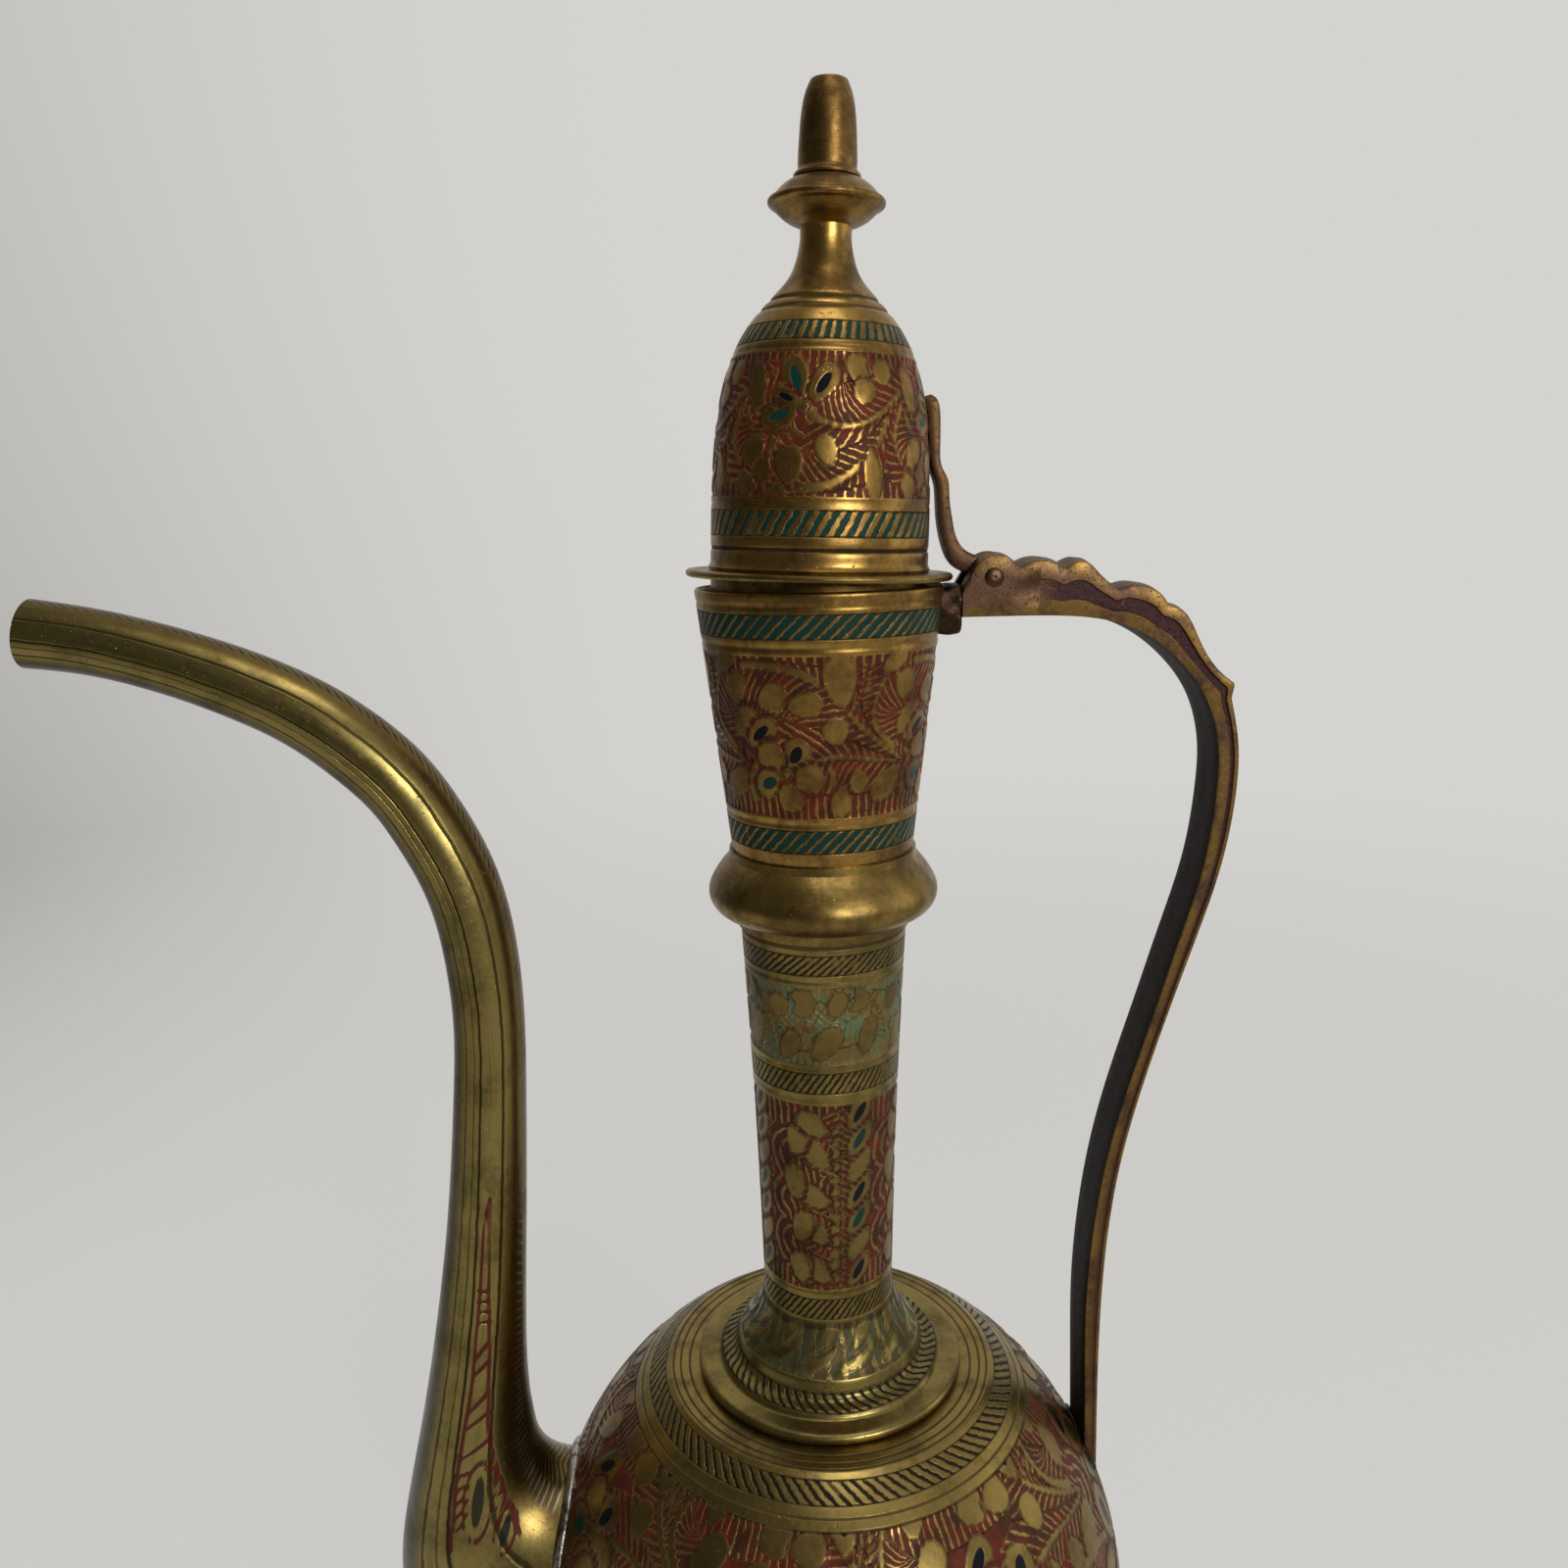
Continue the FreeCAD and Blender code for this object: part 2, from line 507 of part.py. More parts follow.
def make_hinge_strap():
    """Bent strip from the dome's side down to the knuckle on the hinge pin."""
    def pin_spot(out, up):
        return at(PIN_X + out, PIN_Z + up)

    tongue_x = DOME_RADIUS * 0.5 - PIN_X
    tip = pin_spot(DOME_RADIUS * 0.905 + WALL - PIN_X, 33.4)
    knee = pin_spot(-6.0, 5.2)
    shoulder = pin_spot(DOME_RADIUS + WALL - PIN_X, 17.0)
    edges = line(pin_spot(tongue_x, 20.0), pin_spot(tongue_x, 33.4), tip)
    edges += curve(tip, pin_spot(DOME_RADIUS + 0.7 * WALL - PIN_X, 27.0), shoulder, pin_spot(-9.0, 9.4), knee,
                   pin_spot(0.0, KNUCKLE_RADIUS))
    edges += line(pin_spot(0.0, KNUCKLE_RADIUS), pin_spot(-KNUCKLE_RADIUS * 0.5, -KNUCKLE_RADIUS * 0.5))
    edges += curve(pin_spot(-KNUCKLE_RADIUS * 0.5, -KNUCKLE_RADIUS * 0.5), pin_spot(-5.2, 0.9),
                   pin_spot(-8.8, 3.6), pin_spot(-10.8, 7.4), pin_spot(DOME_RADIUS + 0.3 - PIN_X, 14.0),
                   pin_spot(DOME_RADIUS - WALL - PIN_X, 20.0))
    edges += line(pin_spot(DOME_RADIUS - WALL - PIN_X, 20.0), pin_spot(tongue_x, 20.0))
    strap = slab(edges, STRAP_WIDTH).fuse(cross_pin(KNUCKLE_RADIUS, STRAP_WIDTH))
    dome = turned(curve(*dome_points(0.0)) + line(dome_points(0.0)[-1], at(0, dome_points(0.0)[-1].z),
                                                  at(0, DOME_FOOT), dome_points(0.0)[0]))
    strap = strap.cut(dome).cut(cross_pin(PIN_RADIUS + PIN_CLEARANCE, HANDLE_WIDTH))
    return strap.removeSplitter()


def make_lid():
    """Every piece of the lid, stood ajar about the hinge pin."""
    stud = make_finial_stud()
    pieces = {
        "lid_dome": make_lid_dome(stud),
        "lid_flange": make_lid_flange(),
        "lid_spigot": make_lid_spigot(),
        "finial_disc": make_finial_disc(stud),
        "finial_tip": make_finial_tip(stud),
        "finial_stud": stud,
        "hinge_strap": make_hinge_strap(),
    }
    for piece in pieces.values():
        piece.rotate(at(PIN_X, PIN_Z), ACROSS, AJAR_DEGREES)
    return pieces


def make_pieces():
    """All the pieces by name."""
    handle = make_handle()
    pieces = {
        "foot": make_foot(),
        "body_lower": make_body_lower(),
        "body_upper": make_body_upper(),
        "neck_base": make_neck_base(),
        "neck_tube": make_neck_tube(),
        "neck_bead": make_neck_bead(),
        "neck_cup": make_neck_cup(),
        "handle": handle,
        "handle_top_pad": make_handle_top_pad(),
        "handle_foot_pad": make_handle_foot_pad(handle),
        "hinge_pin": make_hinge_pin(),
    }
    pieces.update(make_spout())
    pieces.update(make_lid())
    return pieces


os.makedirs("parts", exist_ok=True)
for name, piece in make_pieces().items():
    solids = piece.Solids
    print(name, len(solids), "solid", round(piece.Volume), "cubic mm", piece.isValid())
    (solids[0] if len(solids) == 1 else piece).exportStep("parts/" + name + ".step")
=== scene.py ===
"""An engraved and enamelled brass coffee pot: its looks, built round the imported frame."""
import json
import math

import bpy
import numpy as np
from bpy.props import FloatProperty, FloatVectorProperty, PointerProperty
from mathutils import Matrix, Vector


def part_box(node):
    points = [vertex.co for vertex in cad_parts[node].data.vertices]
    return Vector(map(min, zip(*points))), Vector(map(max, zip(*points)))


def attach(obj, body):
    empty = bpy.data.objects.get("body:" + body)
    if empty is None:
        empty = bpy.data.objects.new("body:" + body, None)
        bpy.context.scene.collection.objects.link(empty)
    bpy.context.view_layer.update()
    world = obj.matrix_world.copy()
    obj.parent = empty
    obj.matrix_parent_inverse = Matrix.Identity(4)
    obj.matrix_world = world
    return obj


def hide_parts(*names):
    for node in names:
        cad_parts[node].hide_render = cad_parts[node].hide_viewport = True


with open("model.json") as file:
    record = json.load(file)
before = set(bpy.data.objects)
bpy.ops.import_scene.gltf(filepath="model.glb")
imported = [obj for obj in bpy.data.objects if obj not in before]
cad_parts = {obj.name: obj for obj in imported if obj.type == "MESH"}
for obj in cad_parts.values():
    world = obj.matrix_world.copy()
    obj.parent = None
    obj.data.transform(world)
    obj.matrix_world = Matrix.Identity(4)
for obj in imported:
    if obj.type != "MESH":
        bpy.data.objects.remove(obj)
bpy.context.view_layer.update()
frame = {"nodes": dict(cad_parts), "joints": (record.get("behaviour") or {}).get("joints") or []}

bl_info = {
    "name": "Brass coffee pot",
    "version": (1, 0, 0),
    "blender": (4, 5, 0),
    "location": "View3D > Sidebar > Coffee pot",
    "description": "Models and finishes an engraved brass coffee pot round its packed frame",
    "category": "Object",
}

MM = 0.001
FULL_TURN = 2 * math.pi


def top_of(node):
    """Highest level of a CAD node, in millimetres."""
    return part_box(node)[1].z / MM


# Levels of the pot's seams, in millimetres
FOOT_TOP = top_of("foot")
EQUATOR = top_of("body_lower")
SHOULDER = top_of("body_upper")
NECK_FOOT = top_of("neck_base")
BEAD_FOOT = top_of("neck_tube")
CUP_FOOT = top_of("neck_bead")
RIM = top_of("neck_cup")
HINGE = frame["joints"][0]
PIN_X = HINGE["pos_m"][0] / MM
PIN_Z = HINGE["pos_m"][2] / MM

# Bands of engraved motifs, in millimetres as each piece's map measures them
BODY_BAND = (45.4, 158.0)
SKIRT_END = 19.3
VINE_BAND = (168.0, 210.0)
LEAF_BAND = (219.0, 235.4)
CUP_BAND = (270.0, 300.5)
DOME_BAND = (327.1, 351.8)

# Share of the body's radius out to the handle's lower end, and up to it
LANDING_OUT = 0.88701
LANDING_UP = 0.46175

# Depth of the spout's section over its width
SPOUT_FLATTEN = 0.98

# How far the pad keeps the handle off the cup's rim, in millimetres
PAD_DEPTH = 2.8

# Sheen of the enamels, which are dull
ENAMEL_SPECULAR = 0.12

# Light of the world, the direction it comes from, and how it falls off to the far side
DAYLIGHT = (0.80, 0.79, 0.76)
BRIGHT_SIDE = (0.56, 0.78, 0.28)
DIMMEST = 0.11
BRIGHTEST = 0.82


def length(name, words, millimetres):
    """A size that a user may change, in metres with a millimetre default."""
    return FloatProperty(name=name, description=words, default=millimetres * MM, unit="LENGTH", precision=4)


def paint(name, words, red, green, blue):
    """A colour that a user may change, from screen values of 0 to 255."""
    linear = [((part / 255 + 0.055) / 1.055) ** 2.4 if part > 10 else part / 255 / 12.92
              for part in (red, green, blue)]
    return FloatVectorProperty(name=name, description=words, default=linear, subtype="COLOR", min=0, max=1)


class PotSizes(bpy.types.PropertyGroup):
    """Sizes of the pot's pieces."""
    wall: length("Wall", "Thickness of the brass sheet", 1.4)
    relief: length("Relief", "Depth of the ground cut round the motifs", 0.2)
    body_radius: length("Body radius", "Radius of the ball of the body", 65.0)
    seat_radius: length("Seat radius", "Radius of the flat under the body", 25.0)
    shoulder_radius: length("Shoulder radius", "Radius of the flat on top of the body", 35.0)
    foot_radius: length("Foot radius", "Radius of the foot's rim", 39.0)
    waist_radius: length("Foot waist", "Radius of the foot at its waist", 20.5)
    base_radius: length("Neck base", "Radius of the stepped disc under the neck", 28.8)
    neck_radius: length("Neck foot", "Radius of the neck at its foot", 13.9)
    neck_top_radius: length("Neck top", "Radius of the neck under the bead", 16.9)
    bead_radius: length("Bead", "Radius of the ring under the cup", 23.2)
    cup_foot_radius: length("Cup foot", "Radius of the cup at its foot", 18.2)
    cup_rim_radius: length("Cup rim", "Radius of the cup at its rim", 24.2)
    flange_radius: length("Flange", "Radius of the plate under the dome", 25.7)
    dome_radius: length("Dome", "Radius of the dome at its foot", 20.89)
    dome_height: length("Dome height", "Height of the dome with its stem", 61.6)
    stem_radius: length("Stem", "Radius of the stem under the finial", 4.8)
    disc_radius: length("Disc", "Radius of the finial's disc", 10.8)
    tip_radius: length("Tip", "Radius of the finial's tip", 5.4)
    tip_height: length("Tip height", "Height of the finial's tip", 16.2)
    spout_wall: length("Spout wall", "Thickness of the spout's sheet", 1.3)
    handle_width: length("Handle width", "Width of the handle across", 12.0)
    strap_width: length("Strap width", "Width of the hinge strap across", 5.4)
    pin_radius: length("Pin", "Radius of the hinge pin", 1.1)
    ajar: FloatProperty(name="Ajar", description="Angle at which the lid rests open",
                        default=math.radians(2.0), subtype="ANGLE")


class PotColours(bpy.types.PropertyGroup):
    """Colours of the metal and its enamels."""
    brass: paint("Brass", "Rubbed brass", 158, 124, 64)
    olive: paint("Olive brass", "Duller, greener brass of the spout and the shoulder", 138, 122, 70)
    tarnish: paint("Tarnish", "Browned brass in the hollows", 96, 72, 38)
    # This colour is the darkest tarnish, and is also painted as shade on the handle's inner face, the spout's
    # outer flanks, a band under the bead and the solder's hollows.
    soot_and_shade: paint("Soot", "Darkest tarnish", 26, 20, 13)
    red: paint("Red enamel", "Ground round the flowers", 86, 8, 15)
    deep_red: paint("Deep red", "Darkest part of the red enamel", 46, 5, 10)
    teal: paint("Teal enamel", "Hatched bands and leaf drops", 16, 48, 41)
    ink: paint("Ink enamel", "Dark drops in the leaves", 12, 13, 18)
    verdigris: paint("Verdigris", "Grey-green ground of the neck's upper band", 62, 102, 78)
    cast: paint("Cast brass", "Brown cast metal of the handle", 82, 60, 45)
    solder: paint("Solder", "Bright solder of the seams", 176, 170, 158)
    steel: paint("Pin", "Worn pin", 74, 55, 41)
    floor: paint("Floor", "Pale floor and backdrop", 222, 219, 212)


def sizes():
    """The scene's sizes."""
    return bpy.context.scene.coffee_pot_sizes


def colours():
    """The scene's colours."""
    return bpy.context.scene.coffee_pot_colours


def mm(name):
    """One of the pot's sizes in millimetres."""
    return getattr(sizes(), name) / MM


# Outlines

def smooth_run(points, step):
    """Points about a step apart along a smooth curve through the given points."""
    knots = np.array(points, float)
    gaps = np.linalg.norm(np.diff(knots, axis=0), axis=1)
    along = np.concatenate(([0.0], np.cumsum(np.sqrt(gaps))))
    spans = np.diff(along)
    count = len(knots)
    matrix = np.eye(count)
    right = np.zeros_like(knots)
    for index in range(1, count - 1):
        before, after = spans[index - 1], spans[index]
        matrix[index, index - 1:index + 2] = before, 2 * (before + after), after
        rise_before = (knots[index] - knots[index - 1]) / before
        rise_after = (knots[index + 1] - knots[index]) / after
        right[index] = 6 * (rise_after - rise_before)
    bend = np.linalg.solve(matrix, right)
    places = np.linspace(0, along[-1], max(2, round(gaps.sum() / step)) + 1)
    left = np.clip(np.searchsorted(along, places, side="right") - 1, 0, count - 2)
    span = spans[left][:, None]
    gone = places[:, None] - along[left][:, None]
    rest = span - gone
    return ((bend[left] * rest ** 3 + bend[left + 1] * gone ** 3) / (6 * span)
            + (knots[left] / span - bend[left] * span / 6) * rest
            + (knots[left + 1] / span - bend[left + 1] * span / 6) * gone)


def straight_run(points, step):
    """Points about a step apart along straight lines."""
    runs = []
    for first, last in zip(points, points[1:]):
        first, last = np.array(first, float), np.array(last, float)
        number = max(1, round(np.linalg.norm(last - first) / step))
        shares = np.linspace(0, 1, number + 1)[:, None]
        runs.append(first + (last - first) * shares)
    return np.vstack(runs)


def arc_run(first, middle, last, step):
    """Points about a step apart along the arc through three points."""
    (ax, ay), (bx, by), (cx, cy) = first, middle, last
    double = 2 * (ax * (by - cy) + bx * (cy - ay) + cx * (ay - by))
    square_a, square_b, square_c = ax * ax + ay * ay, bx * bx + by * by, cx * cx + cy * cy
    centre = np.array([(square_a * (by - cy) + square_b * (cy - ay) + square_c * (ay - by)) / double,
                       (square_a * (cx - bx) + square_b * (ax - cx) + square_c * (bx - ax)) / double])
    turn_a, turn_b, turn_c = (math.atan2(y - centre[1], x - centre[0]) for x, y in (first, middle, last))
    sweep = (turn_c - turn_a) % FULL_TURN
    if (turn_b - turn_a) % FULL_TURN > sweep:
        sweep -= FULL_TURN
    radius = np.linalg.norm(np.array(first) - centre)
    turns = turn_a + np.linspace(0, sweep, max(3, round(abs(sweep) * radius / step)) + 1)
    return centre + radius * np.column_stack((np.cos(turns), np.sin(turns)))


def joined(*runs):
    """Runs of points put end to end, without doubles."""
    points = np.vstack(runs)
    gaps = np.linalg.norm(np.diff(points, axis=0), axis=1)
    return points[np.concatenate(([True], gaps > 1e-4))]


def grooved(outline, *grooves):
    """An outline with turned rings: each groove is its level, its depth and its half width."""
    outline = outline.copy()
    level = outline[:, 1].copy()
    for place, depth, half_width in grooves:
        outline[:, 0] -= depth * np.exp(-((level - place) / half_width) ** 2)
    return outline


# Modelling

def fresh_start():
    """Goes to object mode with nothing selected."""
    if bpy.context.mode != "OBJECT":
        bpy.ops.object.mode_set(mode="OBJECT")
    bpy.ops.object.select_all(action="DESELECT")


def close_mesh(piece, merge=0.002):
    """Merges doubles, turns every face outwards and goes back to object mode."""
    bpy.ops.object.mode_set(mode="EDIT")
    bpy.ops.mesh.select_all(action="SELECT")
    bpy.ops.mesh.remove_doubles(threshold=merge * MM)
    bpy.ops.mesh.normals_make_consistent(inside=False)
    bpy.ops.object.mode_set(mode="OBJECT")
    return piece


def cap_ends():
    """Closes the open ends of the active piece and turns every face outwards."""
    bpy.ops.object.mode_set(mode="EDIT")
    bpy.ops.mesh.select_all(action="SELECT")
    bpy.ops.mesh.fill_holes(sides=0)
    bpy.ops.mesh.select_all(action="SELECT")
    bpy.ops.mesh.normals_make_consistent(inside=False)
    bpy.ops.object.mode_set(mode="OBJECT")


def make_active(piece):
    """Selects one piece alone."""
    fresh_start()
    piece.select_set(True)
    bpy.context.view_layer.objects.active = piece


def smooth(piece, degrees=38.0):
    """Smooth shading that keeps the sharper edges."""
    make_active(piece)
    bpy.ops.object.shade_smooth_by_angle(angle=math.radians(degrees))
    return piece


def apply_modifiers(piece):
    """Applies every modifier of a piece in order."""
    make_active(piece)
    for modifier in list(piece.modifiers):
        bpy.ops.object.modifier_apply(modifier=modifier.name)


def soften(piece):
    """Rounds a piece by one step of subdivision."""
    rounding = piece.modifiers.new("rounding", "SUBSURF")
    rounding.levels = rounding.render_levels = 1
    apply_modifiers(piece)


def lathe(name, outline, turns):
    """Turns a closed outline of radii and levels, in millimetres, about the upright axis."""
    fresh_start()
    bpy.ops.mesh.primitive_plane_add(size=MM)
    piece = bpy.context.object
    piece.name = name
    points = np.vstack((outline, outline[:1]))
    bpy.ops.object.mode_set(mode="EDIT")
    bpy.ops.mesh.select_all(action="SELECT")
    bpy.ops.mesh.merge(type="CENTER")
    bpy.ops.transform.translate(value=(0, points[0][0] * MM, points[0][1] * MM))
    for radius, level in np.diff(points, axis=0) * MM:
        bpy.ops.mesh.extrude_vertices_move(TRANSFORM_OT_translate={"value": (0, radius, level)})
    bpy.ops.object.mode_set(mode="OBJECT")
    turn = piece.modifiers.new("turning", "SCREW")
    turn.axis, turn.angle = "Z", FULL_TURN
    turn.steps = turn.render_steps = turns
    turn.use_merge_vertices = True
    turn.merge_threshold = 0.001 * MM
    apply_modifiers(piece)
    close_mesh(piece)
    return smooth(piece)


def read_all(items, name, width=1, kind=float):
    """One property of every vertex, corner or face of a mesh, in rows of a width."""
    values = np.empty(len(items) * width, kind)
    items.foreach_get(name, values)
    return values.reshape(-1, width) if width > 1 else values


def vertex_places(piece):
    """The places of a piece's vertices in millimetres."""
    return read_all(piece.data.vertices, "co", 3) / MM


def move_vertices(piece, places):
    """Puts a piece's vertices at places given in millimetres."""
    piece.data.vertices.foreach_set("co", (places * MM).ravel())
    piece.data.update()


def keep_values(piece, **layers):
    """Stores a number for every vertex in named layers."""
    for name, values in layers.items():
        layer = piece.data.attributes.new(name, "FLOAT", "POINT")
        layer.data.foreach_set("value", np.asarray(values, np.float32))


def corner_values(piece):
    """The vertex of every face corner, and the face's centre in millimetres for each corner."""
    mesh = piece.data
    vertices = read_all(mesh.loops, "vertex_index", kind=int)
    counts = read_all(mesh.polygons, "loop_total", kind=int)
    centres = read_all(mesh.polygons, "center", 3)
    return vertices, np.repeat(centres / MM, counts, axis=0)


def turn_of(places):
    """Share of a turn about the upright axis, with the seam behind the pot."""
    return (np.arctan2(places[:, 1], places[:, 0]) / FULL_TURN + 0.75) % 1.0


def write_map(piece, across, along):
    """Lays the piece's own UV map from values for every face corner."""
    for layer in list(piece.data.uv_layers):
        piece.data.uv_layers.remove(layer)
    layer = piece.data.uv_layers.new(name="bands")
    layer.data.foreach_set("uv", np.column_stack((across, along * 0.01)).ravel().astype(np.float32))


def map_bands(piece, level_of):
    """UV map of a turned piece: the turn across, and a hundredth of the level in millimetres along."""
    places = vertex_places(piece)
    vertices, centres = corner_values(piece)
    middle = turn_of(centres)
    turn = turn_of(places)[vertices]
    turn -= np.round(turn - middle)
    radius = np.hypot(places[:, 0], places[:, 1])
    turn = np.where(radius[vertices] < 0.01, middle, turn)
    write_map(piece, turn, level_of(radius, places[:, 2])[vertices])


def turn_ajar(piece):
    """Turns a piece of the lid about the hinge pin to where the lid rests."""
    pin = Vector((PIN_X * MM, 0, PIN_Z * MM))
    turn = Matrix.Rotation(sizes().ajar, 4, "Y")
    piece.data.transform(Matrix.Translation(pin) @ turn @ Matrix.Translation(-pin))
    piece.data.update()


def sheet_grid(name, places):
    """A mesh from rows of points, in millimetres, made of a grid whose first and last columns meet."""
    rows, columns = places.shape[:2]
    fresh_start()
    bpy.ops.mesh.primitive_grid_add(x_subdivisions=columns - 1, y_subdivisions=rows - 1, size=1)
    piece = bpy.context.object
    piece.name = name
    flat = vertex_places(piece) * MM
    column = np.rint((flat[:, 0] + 0.5) * (columns - 1)).astype(int)
    row = np.rint((flat[:, 1] + 0.5) * (rows - 1)).astype(int)
    move_vertices(piece, places[row, column])
    return piece, row, column


def swept(sides):
    """Rows of points of a bar: each side has its run in the pot's plane and its offset across."""
    return np.stack([np.column_stack((run[:, 0], np.zeros(len(run)) - across, run[:, 1]))
                     for run, across in sides], axis=1)


def mirrored(loop):
    """Half of a bar's section with its mirrored half, closed."""
    loop = loop + [(rise, -across, *kind) for rise, across, *kind in reversed(loop)]
    return loop + loop[:1]


def dress(piece, body, slot, finish, *nodes):
    """Gives a piece its finish and its body, and hides the CAD nodes it stands for; the slot is not used."""
    if body == "lid":
        turn_ajar(piece)
    piece.data.materials.clear()
    piece.data.materials.append(finish)
    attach(piece, body)
    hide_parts(*nodes)


# Engraving

class Engraving:
    """Distances in millimetres from every point of a band to the motifs engraved in it."""

    FAR = 9.0
    LONGER = 1.08
    WIDER = 1.1

    def __init__(self, across, up, tile, height):
        self.across = across
        self.up = up
        self.tile = tile
        self.motif = np.full(across.shape, self.FAR)
        self.vein = self.motif.copy()
        self.teal = self.motif.copy()
        self.ink = self.motif.copy()
        self.stroke = across.copy()
        self.reach = np.minimum(np.abs(up), np.abs(height - up)) * 1.4

    def local(self, spot, degrees):
        """Coordinates along and across a line from a spot, in the nearest repeat of the tile."""
        turn = math.radians(degrees)
        along = (self.across - spot[0] + self.tile / 2) % self.tile - self.tile / 2
        rise = self.up - spot[1]
        return (along * math.cos(turn) + rise * math.sin(turn),
                rise * math.cos(turn) - along * math.sin(turn))

    def add(self, layer, distance):
        """Joins a shape to a layer."""
        setattr(self, layer, np.minimum(getattr(self, layer), distance))

    def carve(self, distance, moat):
        """Joins a motif, with a moat cut round it through the motifs under it."""
        self.motif = np.minimum(np.maximum(self.motif, moat - distance), distance)
        for layer in ("vein", "teal", "ink"):
            setattr(self, layer, np.where(distance < 0.1, self.FAR, getattr(self, layer)))

    def oval(self, x, y, middle, half_length, half_width):
        """Distance to an oval lying along a line."""
        size = np.hypot((x - middle) / half_length, y / half_width)
        return (size - 1) * min(half_length, half_width)

    def leaf(self, spot, degrees, long, wide, drop=None, moat=0.6):
        """A leaf that grows from a spot, fuller towards its tip."""
        long, wide = long * self.LONGER, wide * self.WIDER
        x, y = self.local(spot, degrees)
        fullness = 0.76 + 0.42 * np.clip(x / long, 0, 1)
        self.carve(self.oval(x, y / fullness, long / 2, long / 2, wide / 2), moat)
        if drop:
            self.add(drop, self.oval(x, y, long * 0.5, long * 0.27, wide * 0.18))

    def leaves(self, rows, left=0.0, low=0.0, scale=1.0):
        """Leaves from rows of place across, place up, angle, length, width and, for some, an enamel drop."""
        for across, up, degrees, long, wide, *drop in rows:
            self.leaf((left + across * scale, low + up * scale), degrees, long * scale, wide * scale, *drop)

    def disc_leaf(self, spot, radius, degrees=0.0, moat=0.6):
        """A round leaf about its own middle."""
        turn = math.radians(degrees)
        self.leaf((spot[0] - radius * math.cos(turn), spot[1] - radius * math.sin(turn)), degrees, 2 * radius,
                  2 * radius, None, moat)

    def boss(self, spot, radius):
        """A small round boss with a ring in it."""
        x, y = self.local(spot, 0)
        self.carve(np.hypot(x, y) - radius, 0.4)
        self.add("vein", np.abs(np.hypot(x, y) - radius * 0.62))

    def flower(self, spot, radius, petals=5, start=90.0, drops=("teal", "ink")):
        """Petals with enamel drops round a small boss."""
        for index in range(petals):
            turn = math.radians(start + index * 360 / petals)
            root = (spot[0] + 0.16 * radius * math.cos(turn), spot[1] + 0.16 * radius * math.sin(turn))
            self.leaf(root, math.degrees(turn), radius * 0.95, radius * 0.84, drops[index % len(drops)])
        self.boss(spot, radius * 0.2)

    def stem(self, points, width=0.9, slant=0.7):
        """A tapering stem along a smooth curve; the strokes of the ground lean off it."""
        path = smooth_run(points, 1.3)
        middle = path[:, 0].mean()
        x = (self.across - middle + self.tile / 2) % self.tile - self.tile / 2
        y = self.up
        near = np.full(x.shape, self.FAR)
        place = np.zeros(x.shape)
        gone = 0.0
        for (ax, ay), (bx, by) in zip(path, path[1:]):
            ax, bx = ax - middle, bx - middle
            size = math.hypot(bx - ax, by - ay)
            share = np.clip(((x - ax) * (bx - ax) + (y - ay) * (by - ay)) / size ** 2, 0, 1)
            away = np.hypot(x - ax - share * (bx - ax), y - ay - share * (by - ay))
            nearer = away < near
            near = np.where(nearer, away, near)
            place = np.where(nearer, gone + share * size, place)
            gone += size
        self.add("motif", near - width / 2 * (1 - 0.5 * place / gone))
        nearer = near < self.reach
        self.stroke = np.where(nearer, place + slant * near, self.stroke)
        self.reach = np.where(nearer, near, self.reach)

    def fern(self, spot, degrees, long, wide, fronds=7):
        """A feather of narrow leaves on both sides of a rib."""
        turn = math.radians(degrees)
        for index in range(fronds):
            share = (index + 0.3) / fronds
            root = (spot[0] + share * long * math.cos(turn), spot[1] + share * long * math.sin(turn))
            reach = wide * (1 - 0.6 * share)
            for side in (-1, 1):
                self.leaf(root, degrees + side * 48, reach, long / fronds * 0.8, None, 0.2)


def sprig(work, left, low, scale=1.0, eye=None):
    """The branch of broad leaves with a dropped flower that the cup and the body repeat."""
    def spot(across, up):
        return left + across * scale, low + up * scale

    def stem(width, *points):
        work.stem([spot(*point) for point in points], width * scale)

    work.fern(spot(5.2, 19.4), 80, 9.6 * scale, 2.5 * scale, 8)
    stem(1.9, (-17.6, 28.4), (-12.1, 28.7), (-5.5, 27.3), (-1.3, 24.9), (1.8, 21.5), (6.0, 17.1),
         (10.6, 13.3), (15.4, 10.4))
    stem(1.5, (-6.5, 9.4), (-2.4, 10.9), (2.3, 11.6), (7.7, 10.9), (16.1, 9.7))
    stem(1.7, (13.2, 12.8), (8.8, 17.1), (8.3, 21.0), (10.6, 26.4))
    work.leaves(((2.4, 20.8, 96, 9.4, 5.8, eye), (-13.2, 21.4, 24, 5.8, 5.6), (-7.7, 21.3, 4, 6.2, 4.5),
                 (1.6, 13.8, 100, 5.0, 4.7), (-0.3, 10.2, 265, 5.2, 3.9), (5.4, 9.4, 280, 4.8, 4.1),
                 (2.5, 6.2, 265, 6.0, 4.2), (15.8, 8.8, 220, 8.4, 5.0), (14.6, 21.4, 82, 5.8, 4.8),
                 (14.0, 15.2, 48, 6.8, 4.6), (-16.4, 13.4, 40, 7.4, 4.6, "ink"),
                 (-16.6, 2.4, 66, 9.0, 5.0, "teal"), (9.6, 27.2, 32, 6.0, 3.4)), left, low, scale)
    work.flower(spot(-8.4, 8.4), 6.4 * scale, 5, 62, ("ink", None, "teal", None, None))


